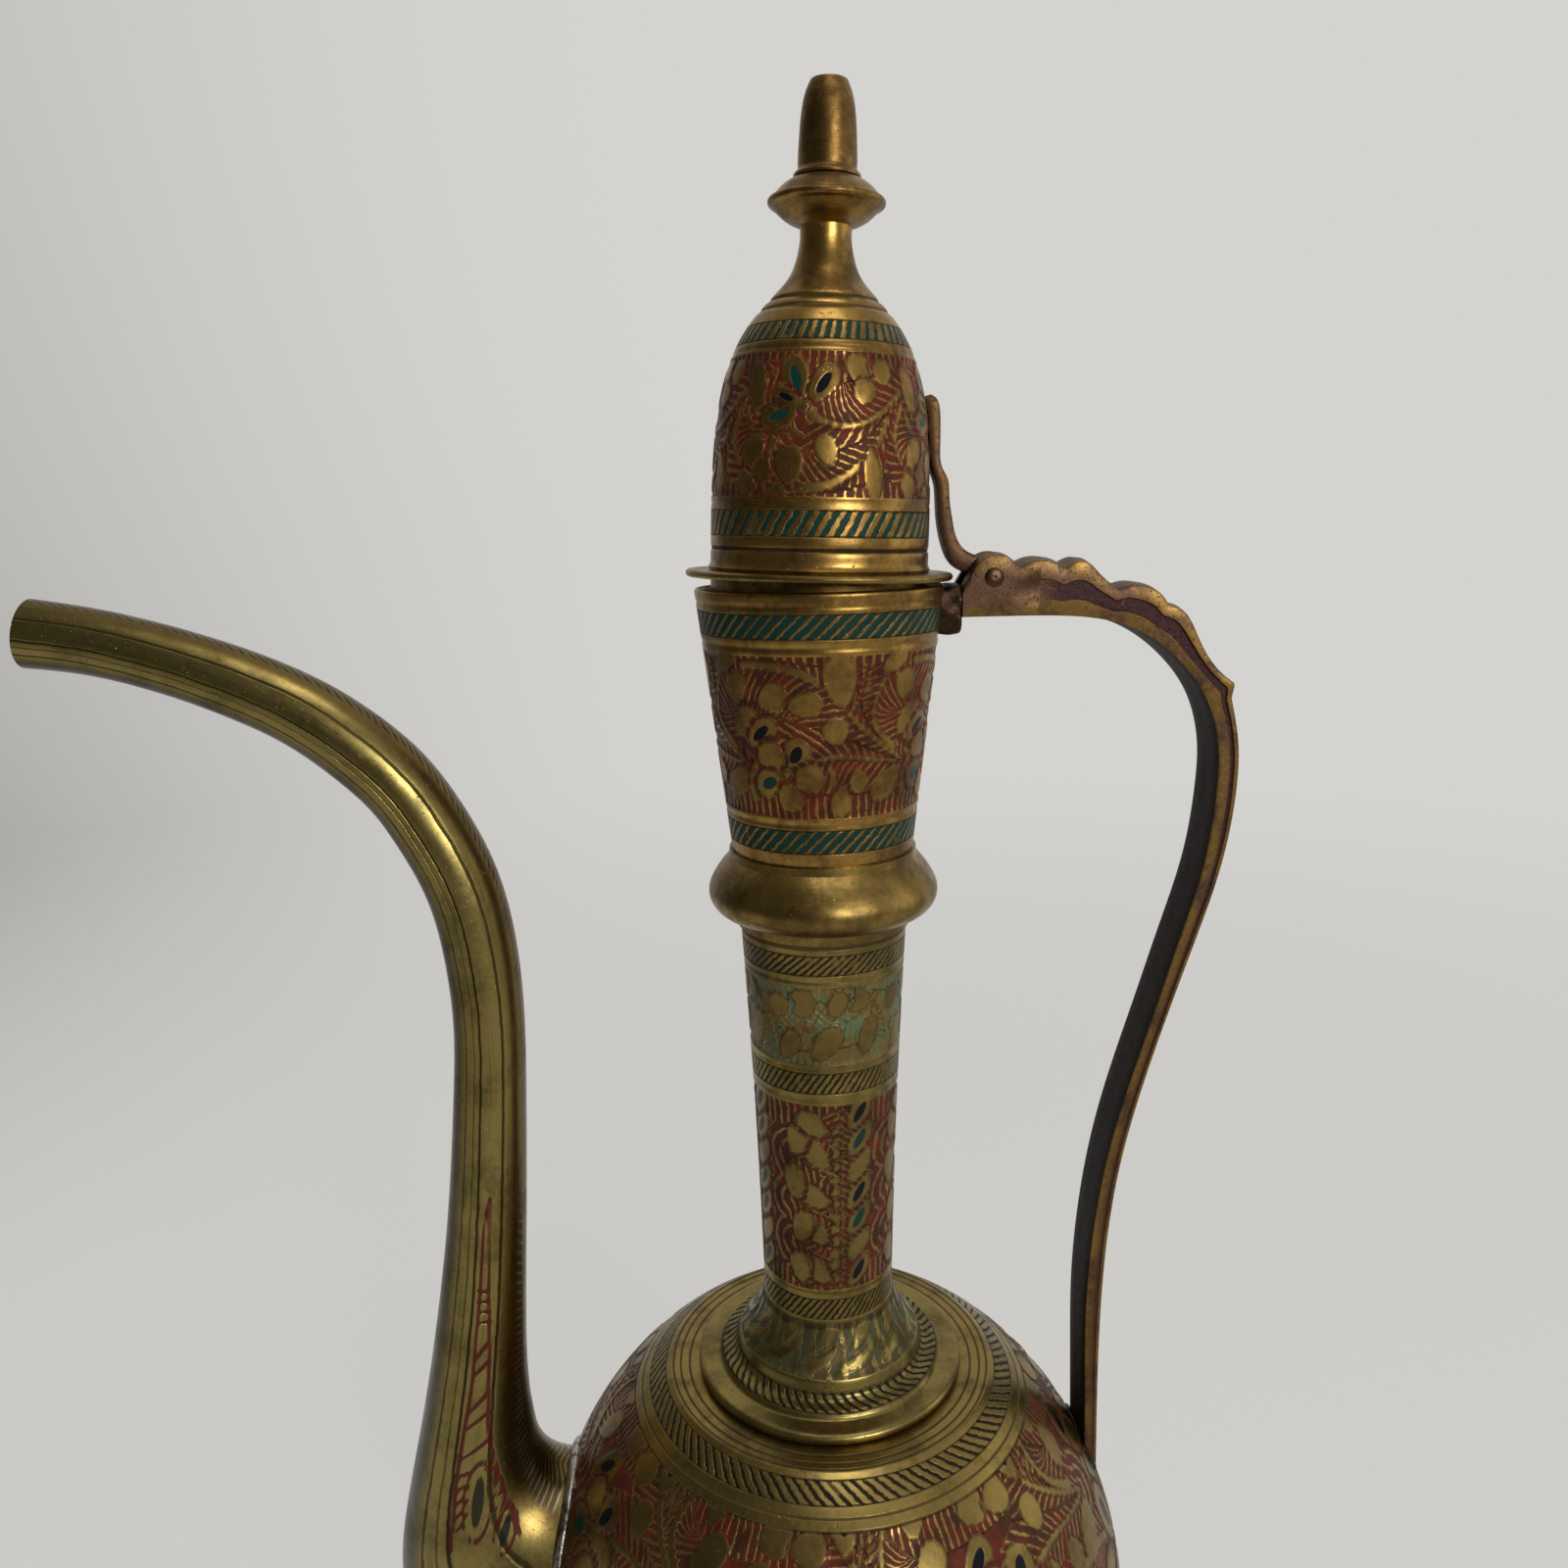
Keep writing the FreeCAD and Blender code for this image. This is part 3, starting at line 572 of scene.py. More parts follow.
def dome_flowers(work):
    """Flowers on bowed stems with broad leaves, as on the dome."""
    work.stem([(-3.1, 13.5), (2.0, 12.0), (7.8, 13.5), (11.7, 16.5), (14.9, 18.7), (20.2, 21.3)], 1.6)
    work.stem([(-12.2, 1.3), (-6.9, 1.5), (-1.7, 1.7), (2.5, 3.5), (5.3, 5.7), (7.8, 8.3), (10.5, 13.5)], 2.4)
    work.stem([(16.4, 20.6), (14.9, 17.0), (12.4, 12.6), (12.3, 8.3), (14.9, 4.3)], 1.6)
    work.leaves(((-12.8, 1.4, 74, 8.8, 4.8), (-6.9, 1.9, 93, 6.4, 4.6), (0.3, 4.9, 108, 5.8, 3.8),
                 (7.0, 8.8, 276, 8.6, 3.2), (15.7, 11.6, 70, 5.4, 4.0), (15.4, 5.2, 62, 5.6, 4.0),
                 (14.4, 4.8, 290, 4.8, 3.8), (-13.2, 13.4, 100, 9.6, 3.6),
                 (-4.8, 16.2, 113, 8.0, 4.6, "teal"), (-3.6, 15.9, 56, 7.4, 4.4, "ink"),
                 (-5.5, 14.9, 197, 7.0, 4.4, "teal"), (-5.3, 15.6, 156, 5.6, 3.0, "ink")))
    work.disc_leaf((5.3, 21.6), 2.5, 90)
    work.disc_leaf((6.2, 17.8), 2.2, 80, 0.0)
    work.disc_leaf((10.2, 21.4), 2.1, 100)
    work.boss((-4.5, 15.2), 1.25)


def neck_leaves(work):
    """Short sprays of broad leaves on the neck's grey-green band."""
    work.stem([(-10.6, 6.6), (-4.0, 7.4), (2.0, 8.8), (8.8, 12.2)], 1.3)
    work.stem([(8.8, 12.2), (11.4, 9.0), (12.6, 4.0)], 1.1)
    work.stem([(-4.0, 7.4), (-5.0, 9.4), (-5.4, 11.2)], 0.9)
    for across, up, radius, degrees in ((-5.6, 12.8, 2.9, 100), (4.9, 13.4, 2.7, 40), (-10.8, 11.8, 2.5, 80)):
        work.disc_leaf((across, up), radius, degrees)
    work.leaves(((-3.6, 1.0, 52, 8.6, 5.2), (6.6, 1.2, 74, 8.4, 4.4), (-10.4, 0.4, 62, 7.4, 4.4),
                 (0.2, 9.8, 70, 6.2, 3.8)))


def neck_vine(work):
    """A feathered rib between round leaves and a column of slanted leaves with drops."""
    work.stem([(1.6, 0.4), (0.8, 12.0), (1.8, 24.0), (1.0, 34.0), (2.2, 41.6)], 1.0)
    work.fern((1.3, 1.0), 90, 40.0, 2.6, 14)
    for across, up, degrees, long in ((-1.0, 1.6, 132, 7.0), (-6.4, 0.8, 100, 7.2), (-1.2, 10.6, 128, 7.6),
                                      (-7.2, 10.4, 78, 7.4), (-0.8, 19.4, 146, 7.0), (-7.4, 20.2, 96, 7.8),
                                      (-1.0, 27.6, 122, 7.8), (-7.4, 30.2, 84, 7.2), (-1.2, 35.4, 138, 6.8)):
        work.stem([(1.2, up - 4.0), (across * 0.5, up - 2.0), (across, up)], 0.9)
        work.leaf((across, up), degrees, long, 4.4)
    for index in range(7):
        work.leaf((3.4, 0.2 + index * 6.0), 60, 8.2, 4.2, ("ink", None, "teal")[index % 3])
    away = np.abs(work.local((8.9, 0), 0)[0])
    work.motif = np.where(away < 0.9, np.maximum(work.motif, 0.5 - away), work.motif)


def spout_panel(work):
    """Red lines of the pointed panel on each side of the spout, drawn as the photograph shows them."""
    def line(*points):
        work.stem(points[::-1], 1.05)

    def outlined(spot, degrees, long, wide):
        x, y = work.local(spot, degrees)
        work.add("motif", np.abs(work.oval(x, y, long / 2, long / 2, wide / 2)) - 0.24)
        work.add("ink", work.oval(x, y, long * 0.5, long * 0.34, wide * 0.2))

    line((-70.4, 188.8), (-71.7, 183.8), (-73.0, 173.9), (-74.1, 165.0), (-75.4, 156.3), (-76.5, 147.7),
         (-77.7, 141.6), (-79.2, 134.2), (-80.4, 128.6), (-81.8, 119.5), (-82.7, 110.4))
    line((-70.2, 188.8), (-70.8, 182.6), (-71.7, 171.6), (-72.3, 160.5), (-72.9, 149.7), (-73.5, 141.4),
         (-73.6, 135.0), (-73.0, 130.0), (-71.9, 124.7), (-70.4, 118.8), (-68.2, 112.0))
    for up in (167.6, 165.3, 163.0, 160.6):
        line((-74.3, up + 0.3), (-72.2, up))
    for low, high in ((152.0, 155.4), (148.6, 151.4), (140.6, 144.8), (137.4, 140.4), (131.0, 134.4)):
        line((-76.0 - (152.0 - low) * 0.16, low), (-73.3, high))
    for step in range(5):
        line((-81.2 - step * 0.3, 127.0 - step * 2.9), (-78.2 - step * 0.3, 127.6 - step * 2.9))
        line((-75.0 + step * 0.6, 127.8 - step * 3.0), (-72.4 + step * 0.75, 127.2 - step * 3.0))
    outlined((-75.4, 129.4), 262, 17.0, 6.0)
    outlined((-70.0, 118.0), 254, 9.0, 4.4)


def engrave(piece, radius, tiles, low, high, level_of, draw):
    """Cuts a band of motifs into a turned piece and keeps the distances for its finish."""
    places = vertex_places(piece)
    reach = np.hypot(places[:, 0], places[:, 1])
    level = level_of(reach, places[:, 2])
    outside = outer_side(piece)
    tile = FULL_TURN * radius / tiles
    height = abs(high - low)
    up = (level - low) * (1 if high > low else -1)
    across = (turn_of(places) - 0.5) * FULL_TURN * radius
    chosen = outside & (up > -1.0) & (up < height + 1.0)
    work = Engraving(across[chosen], up[chosen], tile, height)
    draw(work)
    layers = {}
    for name in ("motif", "vein", "teal", "ink", "stroke"):
        values = np.full(len(places), Engraving.FAR)
        values[chosen] = getattr(work, name)
        layers[name] = values
    return layers, chosen, np.clip(np.minimum(up, height - up) / 0.5, 0, 1)


def outer_side(piece):
    """Which vertices of a turned shell lie on its outer side."""
    normals = read_all(piece.data.vertices, "normal", 3)
    places = vertex_places(piece)
    outwards = normals[:, 0] * places[:, 0] + normals[:, 1] * places[:, 1]
    return outwards > -0.02 * np.hypot(places[:, 0], places[:, 1])


def sink_ground(piece, layers, inside):
    """Lowers the ground between the motifs along the surface's normals."""
    normals = read_all(piece.data.vertices, "normal", 3)
    ground = np.clip((layers["motif"] + 0.1) / 0.35, 0, 1) * inside
    drop = ground * mm("relief") + np.clip(1 - layers["vein"] / 0.25, 0, 1) * inside * mm("relief") * 0.4
    move_vertices(piece, vertex_places(piece) - normals * drop[:, None])


def engrave_bands(piece, level_of, *bands):
    """Engraves one or more bands, keeps their shared layers and lays the piece's map."""
    total = None
    for radius, tiles, low, high, draw in bands:
        layers, chosen, fade = engrave(piece, radius, tiles, low, high, level_of, draw)
        inside = chosen * fade
        if total is None:
            total, everywhere = layers, inside
            continue
        for name, values in layers.items():
            total[name] = np.where(chosen, values, total[name])
        everywhere = np.where(chosen, inside, everywhere)
    sink_ground(piece, total, everywhere)
    keep_values(piece, **total)
    map_bands(piece, level_of)


# Finishes

class Value:
    """A number somewhere in a finish, with arithmetic that adds Math nodes."""

    def __init__(self, finish, socket):
        self.finish = finish
        self.socket = socket

    def maths(self, operation, *others):
        """One Math node on this value and others."""
        return self.finish.maths(operation, self, *others)

    def __add__(self, other):
        return self.maths("ADD", other)

    __radd__ = __add__

    def __sub__(self, other):
        return self.maths("SUBTRACT", other)

    def __rsub__(self, other):
        return self.finish.maths("SUBTRACT", other, self)

    def __mul__(self, other):
        return self.maths("MULTIPLY", other)

    __rmul__ = __mul__

    def __truediv__(self, other):
        return self.maths("DIVIDE", other)

    def __abs__(self):
        return self.maths("ABSOLUTE")


class Nodes:
    """The nodes of a material or of the world."""

    def __init__(self, tree):
        self.tree = tree

    def node(self, kind, settings=None, values=None, out=0):
        """A node with its settings, then its sockets; gives back one of its outputs."""
        node = self.tree.nodes.new(kind)
        for key, value in (settings or {}).items():
            setattr(node, key, value)
        for key, value in (values or {}).items():
            self.feed(node.inputs[key], value)
        return Value(self, node.outputs[out])

    def feed(self, socket, value):
        """Links a value to a socket, or sets the socket to a plain number or colour."""
        if isinstance(value, Value):
            self.tree.links.new(value.socket, socket)
        elif socket.type == "RGBA" and len(value) == 3:
            socket.default_value = (*value, 1.0)
        else:
            socket.default_value = value

    def maths(self, operation, *values):
        """One Math node."""
        return self.node("ShaderNodeMath", {"operation": operation}, dict(enumerate(values)))

    def mix(self, share, first, second):
        """A blend of two colours."""
        return self.node("ShaderNodeMix", {"data_type": "RGBA"}, {0: share, 6: first, 7: second}, 2)

    def step(self, value, low, high):
        """A soft step from 0 at one value to 1 at another."""
        return self.node("ShaderNodeMapRange", {"interpolation_type": "SMOOTHSTEP"},
                         {"Value": value, "From Min": low, "From Max": high})

    def window(self, value, low, high, soft):
        """One between two values and nothing outside them."""
        return self.step(value, low - soft, low + soft) * self.step(value, high + soft, high - soft)

    def daylight(self, way):
        """Brightness of the world in a direction: full at the back right and dim at the front left."""
        dot = self.node("ShaderNodeVectorMath", {"operation": "DOT_PRODUCT"}, {0: way, 1: BRIGHT_SIDE},
                        "Value")
        return self.node("ShaderNodeMapRange", {"interpolation_type": "SMOOTHSTEP"},
                         {"Value": dot, "From Min": -0.35, "From Max": 0.82, "To Min": DIMMEST,
                          "To Max": BRIGHTEST})


class Finish(Nodes):
    """A material and what makes its look."""

    def __init__(self, name, specular=0.5):
        self.material = bpy.data.materials.new(name)
        self.material.use_nodes = True
        super().__init__(self.material.node_tree)
        self.shader = self.tree.nodes["Principled BSDF"]
        self.shader.inputs["Specular IOR Level"].default_value = specular

    def place(self):
        """Place on the object in metres."""
        return self.node("ShaderNodeTexCoord", out="Object")

    def stretched(self, x, y, z):
        """Place on the object, drawn out along its axes."""
        return self.node("ShaderNodeMapping", values={"Vector": self.place(), "Scale": (x, y, z)})

    def noise(self, per_metre, detail=4.0, rough=0.55, vector=None):
        """Cloudy noise from 0 to 1."""
        return self.node("ShaderNodeTexNoise", values={"Vector": vector or self.place(), "Scale": per_metre,
                                                       "Detail": detail, "Roughness": rough})

    def layer(self, name):
        """A number kept for every vertex."""
        return self.node("ShaderNodeAttribute", {"attribute_name": name}, out="Fac")

    def band_map(self):
        """The piece's own map: the share of a turn and the level in millimetres."""
        spot = self.node("ShaderNodeUVMap", {"uv_map": "bands"})
        across = self.node("ShaderNodeSeparateXYZ", values={0: spot}, out="X")
        along = self.node("ShaderNodeSeparateXYZ", values={0: spot}, out="Y")
        return across, along * 100.0

    def done(self, colour, roughness, metal, height=None):
        """Feeds the shader and gives back the material."""
        self.feed(self.shader.inputs["Base Color"], colour)
        self.feed(self.shader.inputs["Roughness"], roughness)
        self.feed(self.shader.inputs["Metallic"], metal)
        if height is not None:
            bump = self.node("ShaderNodeBump", values={"Height": height, "Distance": MM, "Strength": 1.0})
            self.feed(self.shader.inputs["Normal"], bump)
        return self.material


def blend(first, second, share):
    """A colour between two colours."""
    return tuple(start + (end - start) * share for start, end in zip(first, second))


def old_brass(finish, worn=0.5, olive=0.0):
    """Colour, roughness and height of rubbed and tarnished brass, greener by a share."""
    paints = colours()
    metal = blend(paints.brass, paints.olive, olive)
    brown = blend(paints.tarnish, blend(paints.olive, paints.soot_and_shade, 0.5), olive)
    blotches = finish.noise(95.0, 5.0, 0.62)
    grain = finish.noise(620.0, 4.0, 0.6)
    pits = finish.noise(1500.0, 2.0, 0.5)
    rubbed = finish.step(blotches + (grain - 0.5) * 0.35, worn - 0.16, worn + 0.2)
    colour = finish.mix(rubbed, brown, metal)
    stain = finish.step(finish.noise(48.0, 6.0, 0.66), 0.56, 0.74)
    colour = finish.mix(stain * (0.45 - 0.33 * olive), colour, paints.soot_and_shade)
    specks = finish.step(pits, 0.66, 0.76)
    colour = finish.mix(specks * 0.5, colour, paints.soot_and_shade)
    roughness = 0.44 - rubbed * 0.14 + stain * 0.14 + (grain - 0.5) * 0.18
    height = grain * 0.03 - specks * 0.04
    return colour, roughness, height


class Ornament:
    """Bands of ornament laid over brass, from the bottom layer up."""

    def __init__(self, name, worn=0.5, olive=0.0):
        self.finish = finish = Finish(name, specular=ENAMEL_SPECULAR)
        self.colour, self.roughness, self.height = old_brass(finish, worn, olive)
        self.metal = 1.0
        self.turn, self.level = finish.band_map()
        self.wobble = finish.noise(900.0, 2.0) - 0.5
        self.patches = finish.noise(210.0, 4.0, 0.6)
        self.ragged = finish.noise(430.0, 2.0, 0.5)

    def cover(self, share, colour, roughness, metal, height=0.0):
        """Lays a colour and its sheen over what is there."""
        finish = self.finish
        self.colour = finish.mix(share, self.colour, colour)
        self.roughness = self.roughness * (1 - share) + share * roughness
        self.metal = self.metal * (1 - share) + share * metal
        self.height = self.height - share * height

    def hatch(self, low, high, count, lean, colour, bar=0.5, worn=0.55):
        """A band of slanted enamel bars between two dark lines."""
        finish = self.finish
        inside = finish.window(self.level + self.wobble * 0.25, low, high, 0.08)
        phase = self.turn * count + (self.level - low) * lean + self.wobble * 0.45
        across = abs(phase.maths("FRACT") - 0.5)
        bars = finish.step(across, bar / 2 + 0.1, bar / 2 - 0.06)
        kept = finish.step(self.patches, worn - 0.34, worn - 0.12)
        self.cover(inside * 0.15, colours().soot_and_shade, 0.55, 0.8)
        self.cover(inside * bars * kept, colour, 0.5, 0.12, 0.12)
        for edge in (low, high):
            self.ring(edge, 0.16, 0.75)

    def ring(self, level, half_width, share):
        """A thin dark line round the piece."""
        finish = self.finish
        line = finish.step(abs(self.level - level + self.wobble * 0.12), half_width + 0.08, half_width - 0.08)
        self.cover(line * share, colours().soot_and_shade, 0.6, 0.4, 0.1)

    def flowers(self, low, high, ground, deep, leaf_tint=0.0, strokes=1.1, fill=0.92):
        """A band of engraved motifs on an enamelled ground with brass strokes."""
        finish = self.finish
        paints = colours()
        inside = finish.window(self.level, low, high, 0.1)
        stroke = finish.layer("stroke") / strokes + self.wobble * 0.35 + (self.patches - 0.5) * 0.8
        ridge = finish.step(abs(stroke.maths("FRACT") - 0.5), 0.21, 0.11)
        motif = finish.layer("motif") + (self.ragged - 0.5) * 0.55 + (0.5 - ridge) * 0.36
        free = finish.step(motif, 0.0, 0.2)
        grounds = finish.step(motif, -0.06, 0.1) * inside
        bare = ridge * free * finish.step(self.patches, 0.34, 0.46)
        enamel = finish.mix(finish.step(self.patches, 0.36, 0.66), deep, ground)
        self.cover(inside * (1 - grounds) * leaf_tint, paints.tarnish, 0.45, 0.9)
        shade = finish.step(abs(motif + 0.16), 0.2, 0.05) * inside
        self.cover(shade * 0.55, paints.soot_and_shade, 0.6, 0.5)
        self.cover(grounds * (1 - bare * 0.9) * fill, enamel, 0.5, 0.05, 0.1)
        self.drops(inside)

    def drops(self, inside):
        """Veins and enamel drops inside the leaves."""
        finish = self.finish
        paints = colours()
        vein = finish.step(finish.layer("vein") + self.wobble * 0.1, 0.26, 0.1) * inside
        self.cover(vein * 0.8, paints.deep_red, 0.55, 0.3, 0.06)
        for name, colour in (("teal", paints.teal), ("ink", paints.ink)):
            drop = finish.step(finish.layer(name) + self.wobble * 0.12, 0.1, -0.08) * inside
            self.cover(drop, colour, 0.35, 0.05, 0.05)

    def done(self):
        """The finished material."""
        return self.finish.done(self.colour, self.roughness, self.metal, self.height)


def plain_brass(name, worn=0.45, olive=0.0):
    """Turned brass with fine lathe lines."""
    finish = Finish(name)
    colour, roughness, height = old_brass(finish, worn, olive)
    lines = finish.noise(1.0, 3.0, 0.6, finish.stretched(30.0, 30.0, 2600.0))
    return finish.done(colour, roughness + (lines - 0.5) * 0.16, 1.0, height + lines * 0.02)


def spout_brass():
    """Olive spout brass with lines along it, outer flanks darkened by painted shade and dark tarnish, notched
    edges, painted glints along the inner edge and a red-lined panel.
    """
    finish = Finish("spout brass", specular=ENAMEL_SPECULAR)
    paints = colours()
    colour, roughness, height = old_brass(finish, 0.38, 1.0)
    across, along = finish.band_map()
    wobble = finish.noise(260.0, 3.0) - 0.5
    side = abs(across - 0.5) * 2.0
    # Painted shade with dark tarnish: the outer flank, away from the body, darkens almost to black.
    colour = finish.mix(finish.step(side + wobble * 0.06, 0.36, 0.2) * 0.85, colour, paints.soot_and_shade)
    for place, half_width, share in ((0.33, 0.008, 0.6), (0.41, 0.006, 0.45), (0.47, 0.010, 0.85),
                                     (0.67, 0.010, 0.8)):
        line = finish.step(abs(side - place + wobble * 0.02), half_width * 1.6, half_width * 0.5)
        colour = finish.mix(line * share, colour, paints.soot_and_shade)
        roughness = roughness + line * 0.2
        height = height - line * 0.12
    brown = finish.step(side + wobble * 0.04, 0.68, 0.8)
    colour = finish.mix(brown * 0.55, colour, paints.tarnish)
    notched = finish.step(abs(side - 0.5), 0.36, 0.4)
    slants = finish.step(abs(((along - side * 30.0) * 0.5 + wobble).maths("FRACT") - 0.5), 0.3, 0.16)
    colour = finish.mix(notched * slants * 0.75, colour, paints.soot_and_shade)
    # Painted glints: short pale strokes along the inner edge, low on the spout, stand for light caught by the
    # engraved cuts.
    low_down = finish.step(finish.layer("rise") + wobble * 8.0, 192.0, 168.0)
    glint_dashes = finish.step(abs((along * 0.42 + side * 6.0).maths("FRACT") - 0.5), 0.2, 0.1)
    glint_dashes = glint_dashes * finish.window(side + wobble * 0.02, 0.83, 0.9, 0.02) * low_down
    colour = finish.mix(glint_dashes * 0.8, colour, paints.solder)
    streaks = finish.step(finish.noise(1.0, 4.0, 0.6, finish.node("ShaderNodeCombineXYZ", values={
        "X": across * 60.0, "Y": along * 0.05})), 0.5, 0.75)
    colour = finish.mix(streaks * 0.35, colour, paints.soot_and_shade)
    line = finish.step(finish.layer("motif") + wobble * 0.1, 0.12, -0.1)
    colour = finish.mix(line * 0.92, colour, blend(paints.deep_red, paints.red, 0.5))
    eye = finish.step(finish.layer("ink"), 0.12, -0.1)
    colour = finish.mix(eye * 0.9, colour, paints.ink)
    return finish.done(colour, roughness + line * 0.1, 1.0 - line * 0.8 - eye * 0.8, height - line * 0.08)


def handle_brass(name):
    """Brown cast brass with olive edges, red enamel in its channel and painted shade darkening its inner
    face.
    """
    finish = Finish(name, specular=0.22)
    paints = colours()
    blotches = finish.noise(130.0, 5.0, 0.62)
    grain = finish.noise(900.0, 4.0, 0.6)
    edge = finish.layer("rim") * finish.step(blotches + (grain - 0.5) * 0.6, 0.3, 0.62)
    colour = finish.mix(finish.step(blotches, 0.36, 0.68), paints.cast, paints.tarnish)
    colour = finish.mix(edge * 0.45, colour, paints.brass)
    # Painted shade: the inner face, turned to the pot, is darkened almost to black and made rougher and less
    # metallic.
    under = finish.layer("under")
    colour = finish.mix(finish.step(under, 0.3, 0.9) * 0.93, colour, paints.soot_and_shade)
    worn = finish.step(blotches + (grain - 0.5) * 0.5, 0.26, 0.4)
    channel = finish.step(finish.layer("channel"), 0.25, 0.7) * worn
    enamel = finish.mix(finish.step(grain, 0.5, 0.8), paints.deep_red, paints.red)
    colour = finish.mix(channel * 0.95, colour, enamel)
    pits = finish.step(finish.noise(1700.0, 2.0), 0.62, 0.74)
    colour = finish.mix(pits * 0.4, colour, paints.soot_and_shade)
    roughness = 0.5 + (grain - 0.5) * 0.3 - edge * 0.1 + under * 0.15
    metal = 0.85 - channel * 0.8 - under * 0.5
    return finish.done(colour, roughness, metal, grain * 0.06 - pits * 0.08 + channel * grain * 0.12)


def solder_finish(name, shine, shade=0.0):
    """Lumpy solder with painted highlights on the tops of its lumps and painted shade in its hollows, browned
    by a share.
    """
    finish = Finish(name)
    paints = colours()
    lumps = finish.noise(420.0, 4.0, 0.6)
    grain = finish.noise(1600.0, 3.0)
    # Painted light: the colour follows the lumps of the bump, pale on their tops as highlights and dark in
    # the hollows as shade.
    crown_highlights = finish.step(lumps, 0.5 - shine * 0.2, 0.74 - shine * 0.2)
    hollow = blend(paints.soot_and_shade, paints.cast, shade * 0.5)
    colour = finish.mix(crown_highlights, hollow, blend(paints.solder, blend(paints.cast, paints.soot_and_shade, 0.3), shade))
    return finish.done(colour, 0.3 + 0.2 * shade + (lumps - 0.4) * 0.3, 1.0, lumps * 0.3 + grain * 0.05)


def pin_finish():
    """Worn pin metal with fine scratches."""
    finish = Finish("pin metal")
    paints = colours()
    scratches = finish.noise(1.0, 3.0, 0.6, finish.stretched(3000.0, 200.0, 3000.0))
    colour = finish.mix(finish.step(scratches, 0.4, 0.65), paints.cast, paints.steel)
    return finish.done(colour, 0.35 + (scratches - 0.5) * 0.2, 1.0, scratches * 0.03)


# Levels of the ornament, measured as its maps measure them

def upright(radius, level):
    """Bands of the neck, the cup and the dome follow the height."""
    return level


def outwards(radius, level):
    """Bands of the skirt follow the radius."""
    return radius


def over_ball(radius, level):
    """Bands of the body follow the way along its outline from the shoulder's middle."""
    ball = mm("body_radius")
    flat = mm("shoulder_radius")
    edge = math.asin(flat / ball)
    polar = np.arctan2(radius, level - EQUATOR)
    return np.where((radius < flat) & (level > EQUATOR), radius, flat + ball * (polar - edge))


# Pieces

def ball_outline(first, last, radius, step):
    """Part of the body's round outline between two polar angles."""
    turns = np.linspace(first, last, max(2, round(abs(last - first) * radius / step)) + 1)
    return np.column_stack((radius * np.sin(turns), EQUATOR + radius * np.cos(turns)))


class COFFEEPOT_OT_body(bpy.types.Operator):
    """Make the foot and the two halves of the body"""
    bl_idname = "coffeepot.body"
    bl_label = "Body and foot"

    def execute(self, context):
        self.make_foot()
        finish = self.body_finish()
        self.make_half("pot_body_upper", "body_upper", finish, True)
        self.make_half("pot_body_lower", "body_lower", finish, False)
        return {"FINISHED"}

    def make_foot(self):
        """Flared foot with a rolled rim and turned rings."""
        wall, rim, waist, seat = mm("wall"), mm("foot_radius"), mm("waist_radius"), mm("seat_radius")
        roll = 1.8
        flare = rim - roll
        waist_level = FOOT_TOP * 0.75
        middle = (waist + (flare - waist) * 0.3, (waist_level + 2 * roll) / 2)
        outside = smooth_run([(seat, FOOT_TOP), (waist, waist_level), middle, (flare, 2 * roll)], 0.5)
        outside = grooved(outside, (waist_level + 2.4, 0.25, 0.5), (waist_level - 2.0, -0.5, 0.8),
                          (7.6, 0.25, 0.4))
        edge = arc_run((flare, 2 * roll), (rim, roll), (flare, 0.0), 0.4)
        inside = smooth_run([(flare - 2 * wall, 0.0), (middle[0] - wall, middle[1] - wall),
                             (waist - wall, waist_level - wall / 2), (seat - wall, FOOT_TOP)], 1.5)
        piece = lathe("pot_foot", joined(outside, edge, inside), turns=192)
        dress(piece, "pot", "plain_brass", plain_brass("foot brass", 0.52), "foot")

    def body_finish(self):
        """Red ground with leaves on the ball, and plain and hatched rings on the shoulder."""
        work = Ornament("body brass", 0.42, 0.7)
        paints = colours()
        work.flowers(*BODY_BAND, paints.red, paints.deep_red, leaf_tint=0.25, strokes=2.0)
        work.hatch(36.6, 41.0, 100, -0.4, paints.soot_and_shade, bar=0.36)
        for ring in (31.0, 33.0, 34.6, 43.2):
            work.ring(ring, 0.24, 0.7)
        work.ring(BODY_BAND[0], 0.25, 0.7)
        work.hatch(159.5, 164.0, 90, -0.36, paints.teal)
        return work.done()

    def make_half(self, name, node, finish, upper):
        """One half of the ball as a shell, with its sprigs cut in."""
        ball, wall = mm("body_radius"), mm("wall")
        inner = ball - wall
        if upper:
            flat, bore = mm("shoulder_radius"), mm("neck_radius") - wall
            edge = math.asin(flat / ball)
            ceiling = SHOULDER - wall
            outside = joined(ball_outline(math.pi / 2, edge, ball, 0.5),
                             straight_run([(flat, SHOULDER), (bore, SHOULDER), (bore, ceiling)], 0.6))
            inside = ball_outline(math.acos((ceiling - EQUATOR) / inner), math.pi / 2, inner, 4.0)
        else:
            seat = mm("seat_radius")
            floor = FOOT_TOP + wall
            outside = joined(straight_run([(0, floor), (0, FOOT_TOP), (seat, FOOT_TOP)], 3.0),
                             ball_outline(math.pi - math.asin(seat / ball), math.pi / 2, ball, 0.55))
            inside = ball_outline(math.pi / 2, math.acos((floor - EQUATOR) / inner), inner, 4.0)
        piece = lathe(name, joined(outside, inside), turns=500)
        band_radius, tiles, sprig_width, row_height = 58.0, 7, 33.3, 34.0
        scale = FULL_TURN * band_radius / tiles / sprig_width * 0.88

        def draw(work):
            for shift, low in ((-0.08, row_height), (0.42, 0.0)):
                sprig(work, shift * work.tile, low - 12.0, scale, "ink")

        far_end, near_end = (100.0, 46.0) if upper else (157.5, 100.0)
        engrave_bands(piece, over_ball, (band_radius, tiles, far_end, near_end, draw))
        dress(piece, "pot", "engraved_brass", finish, node)


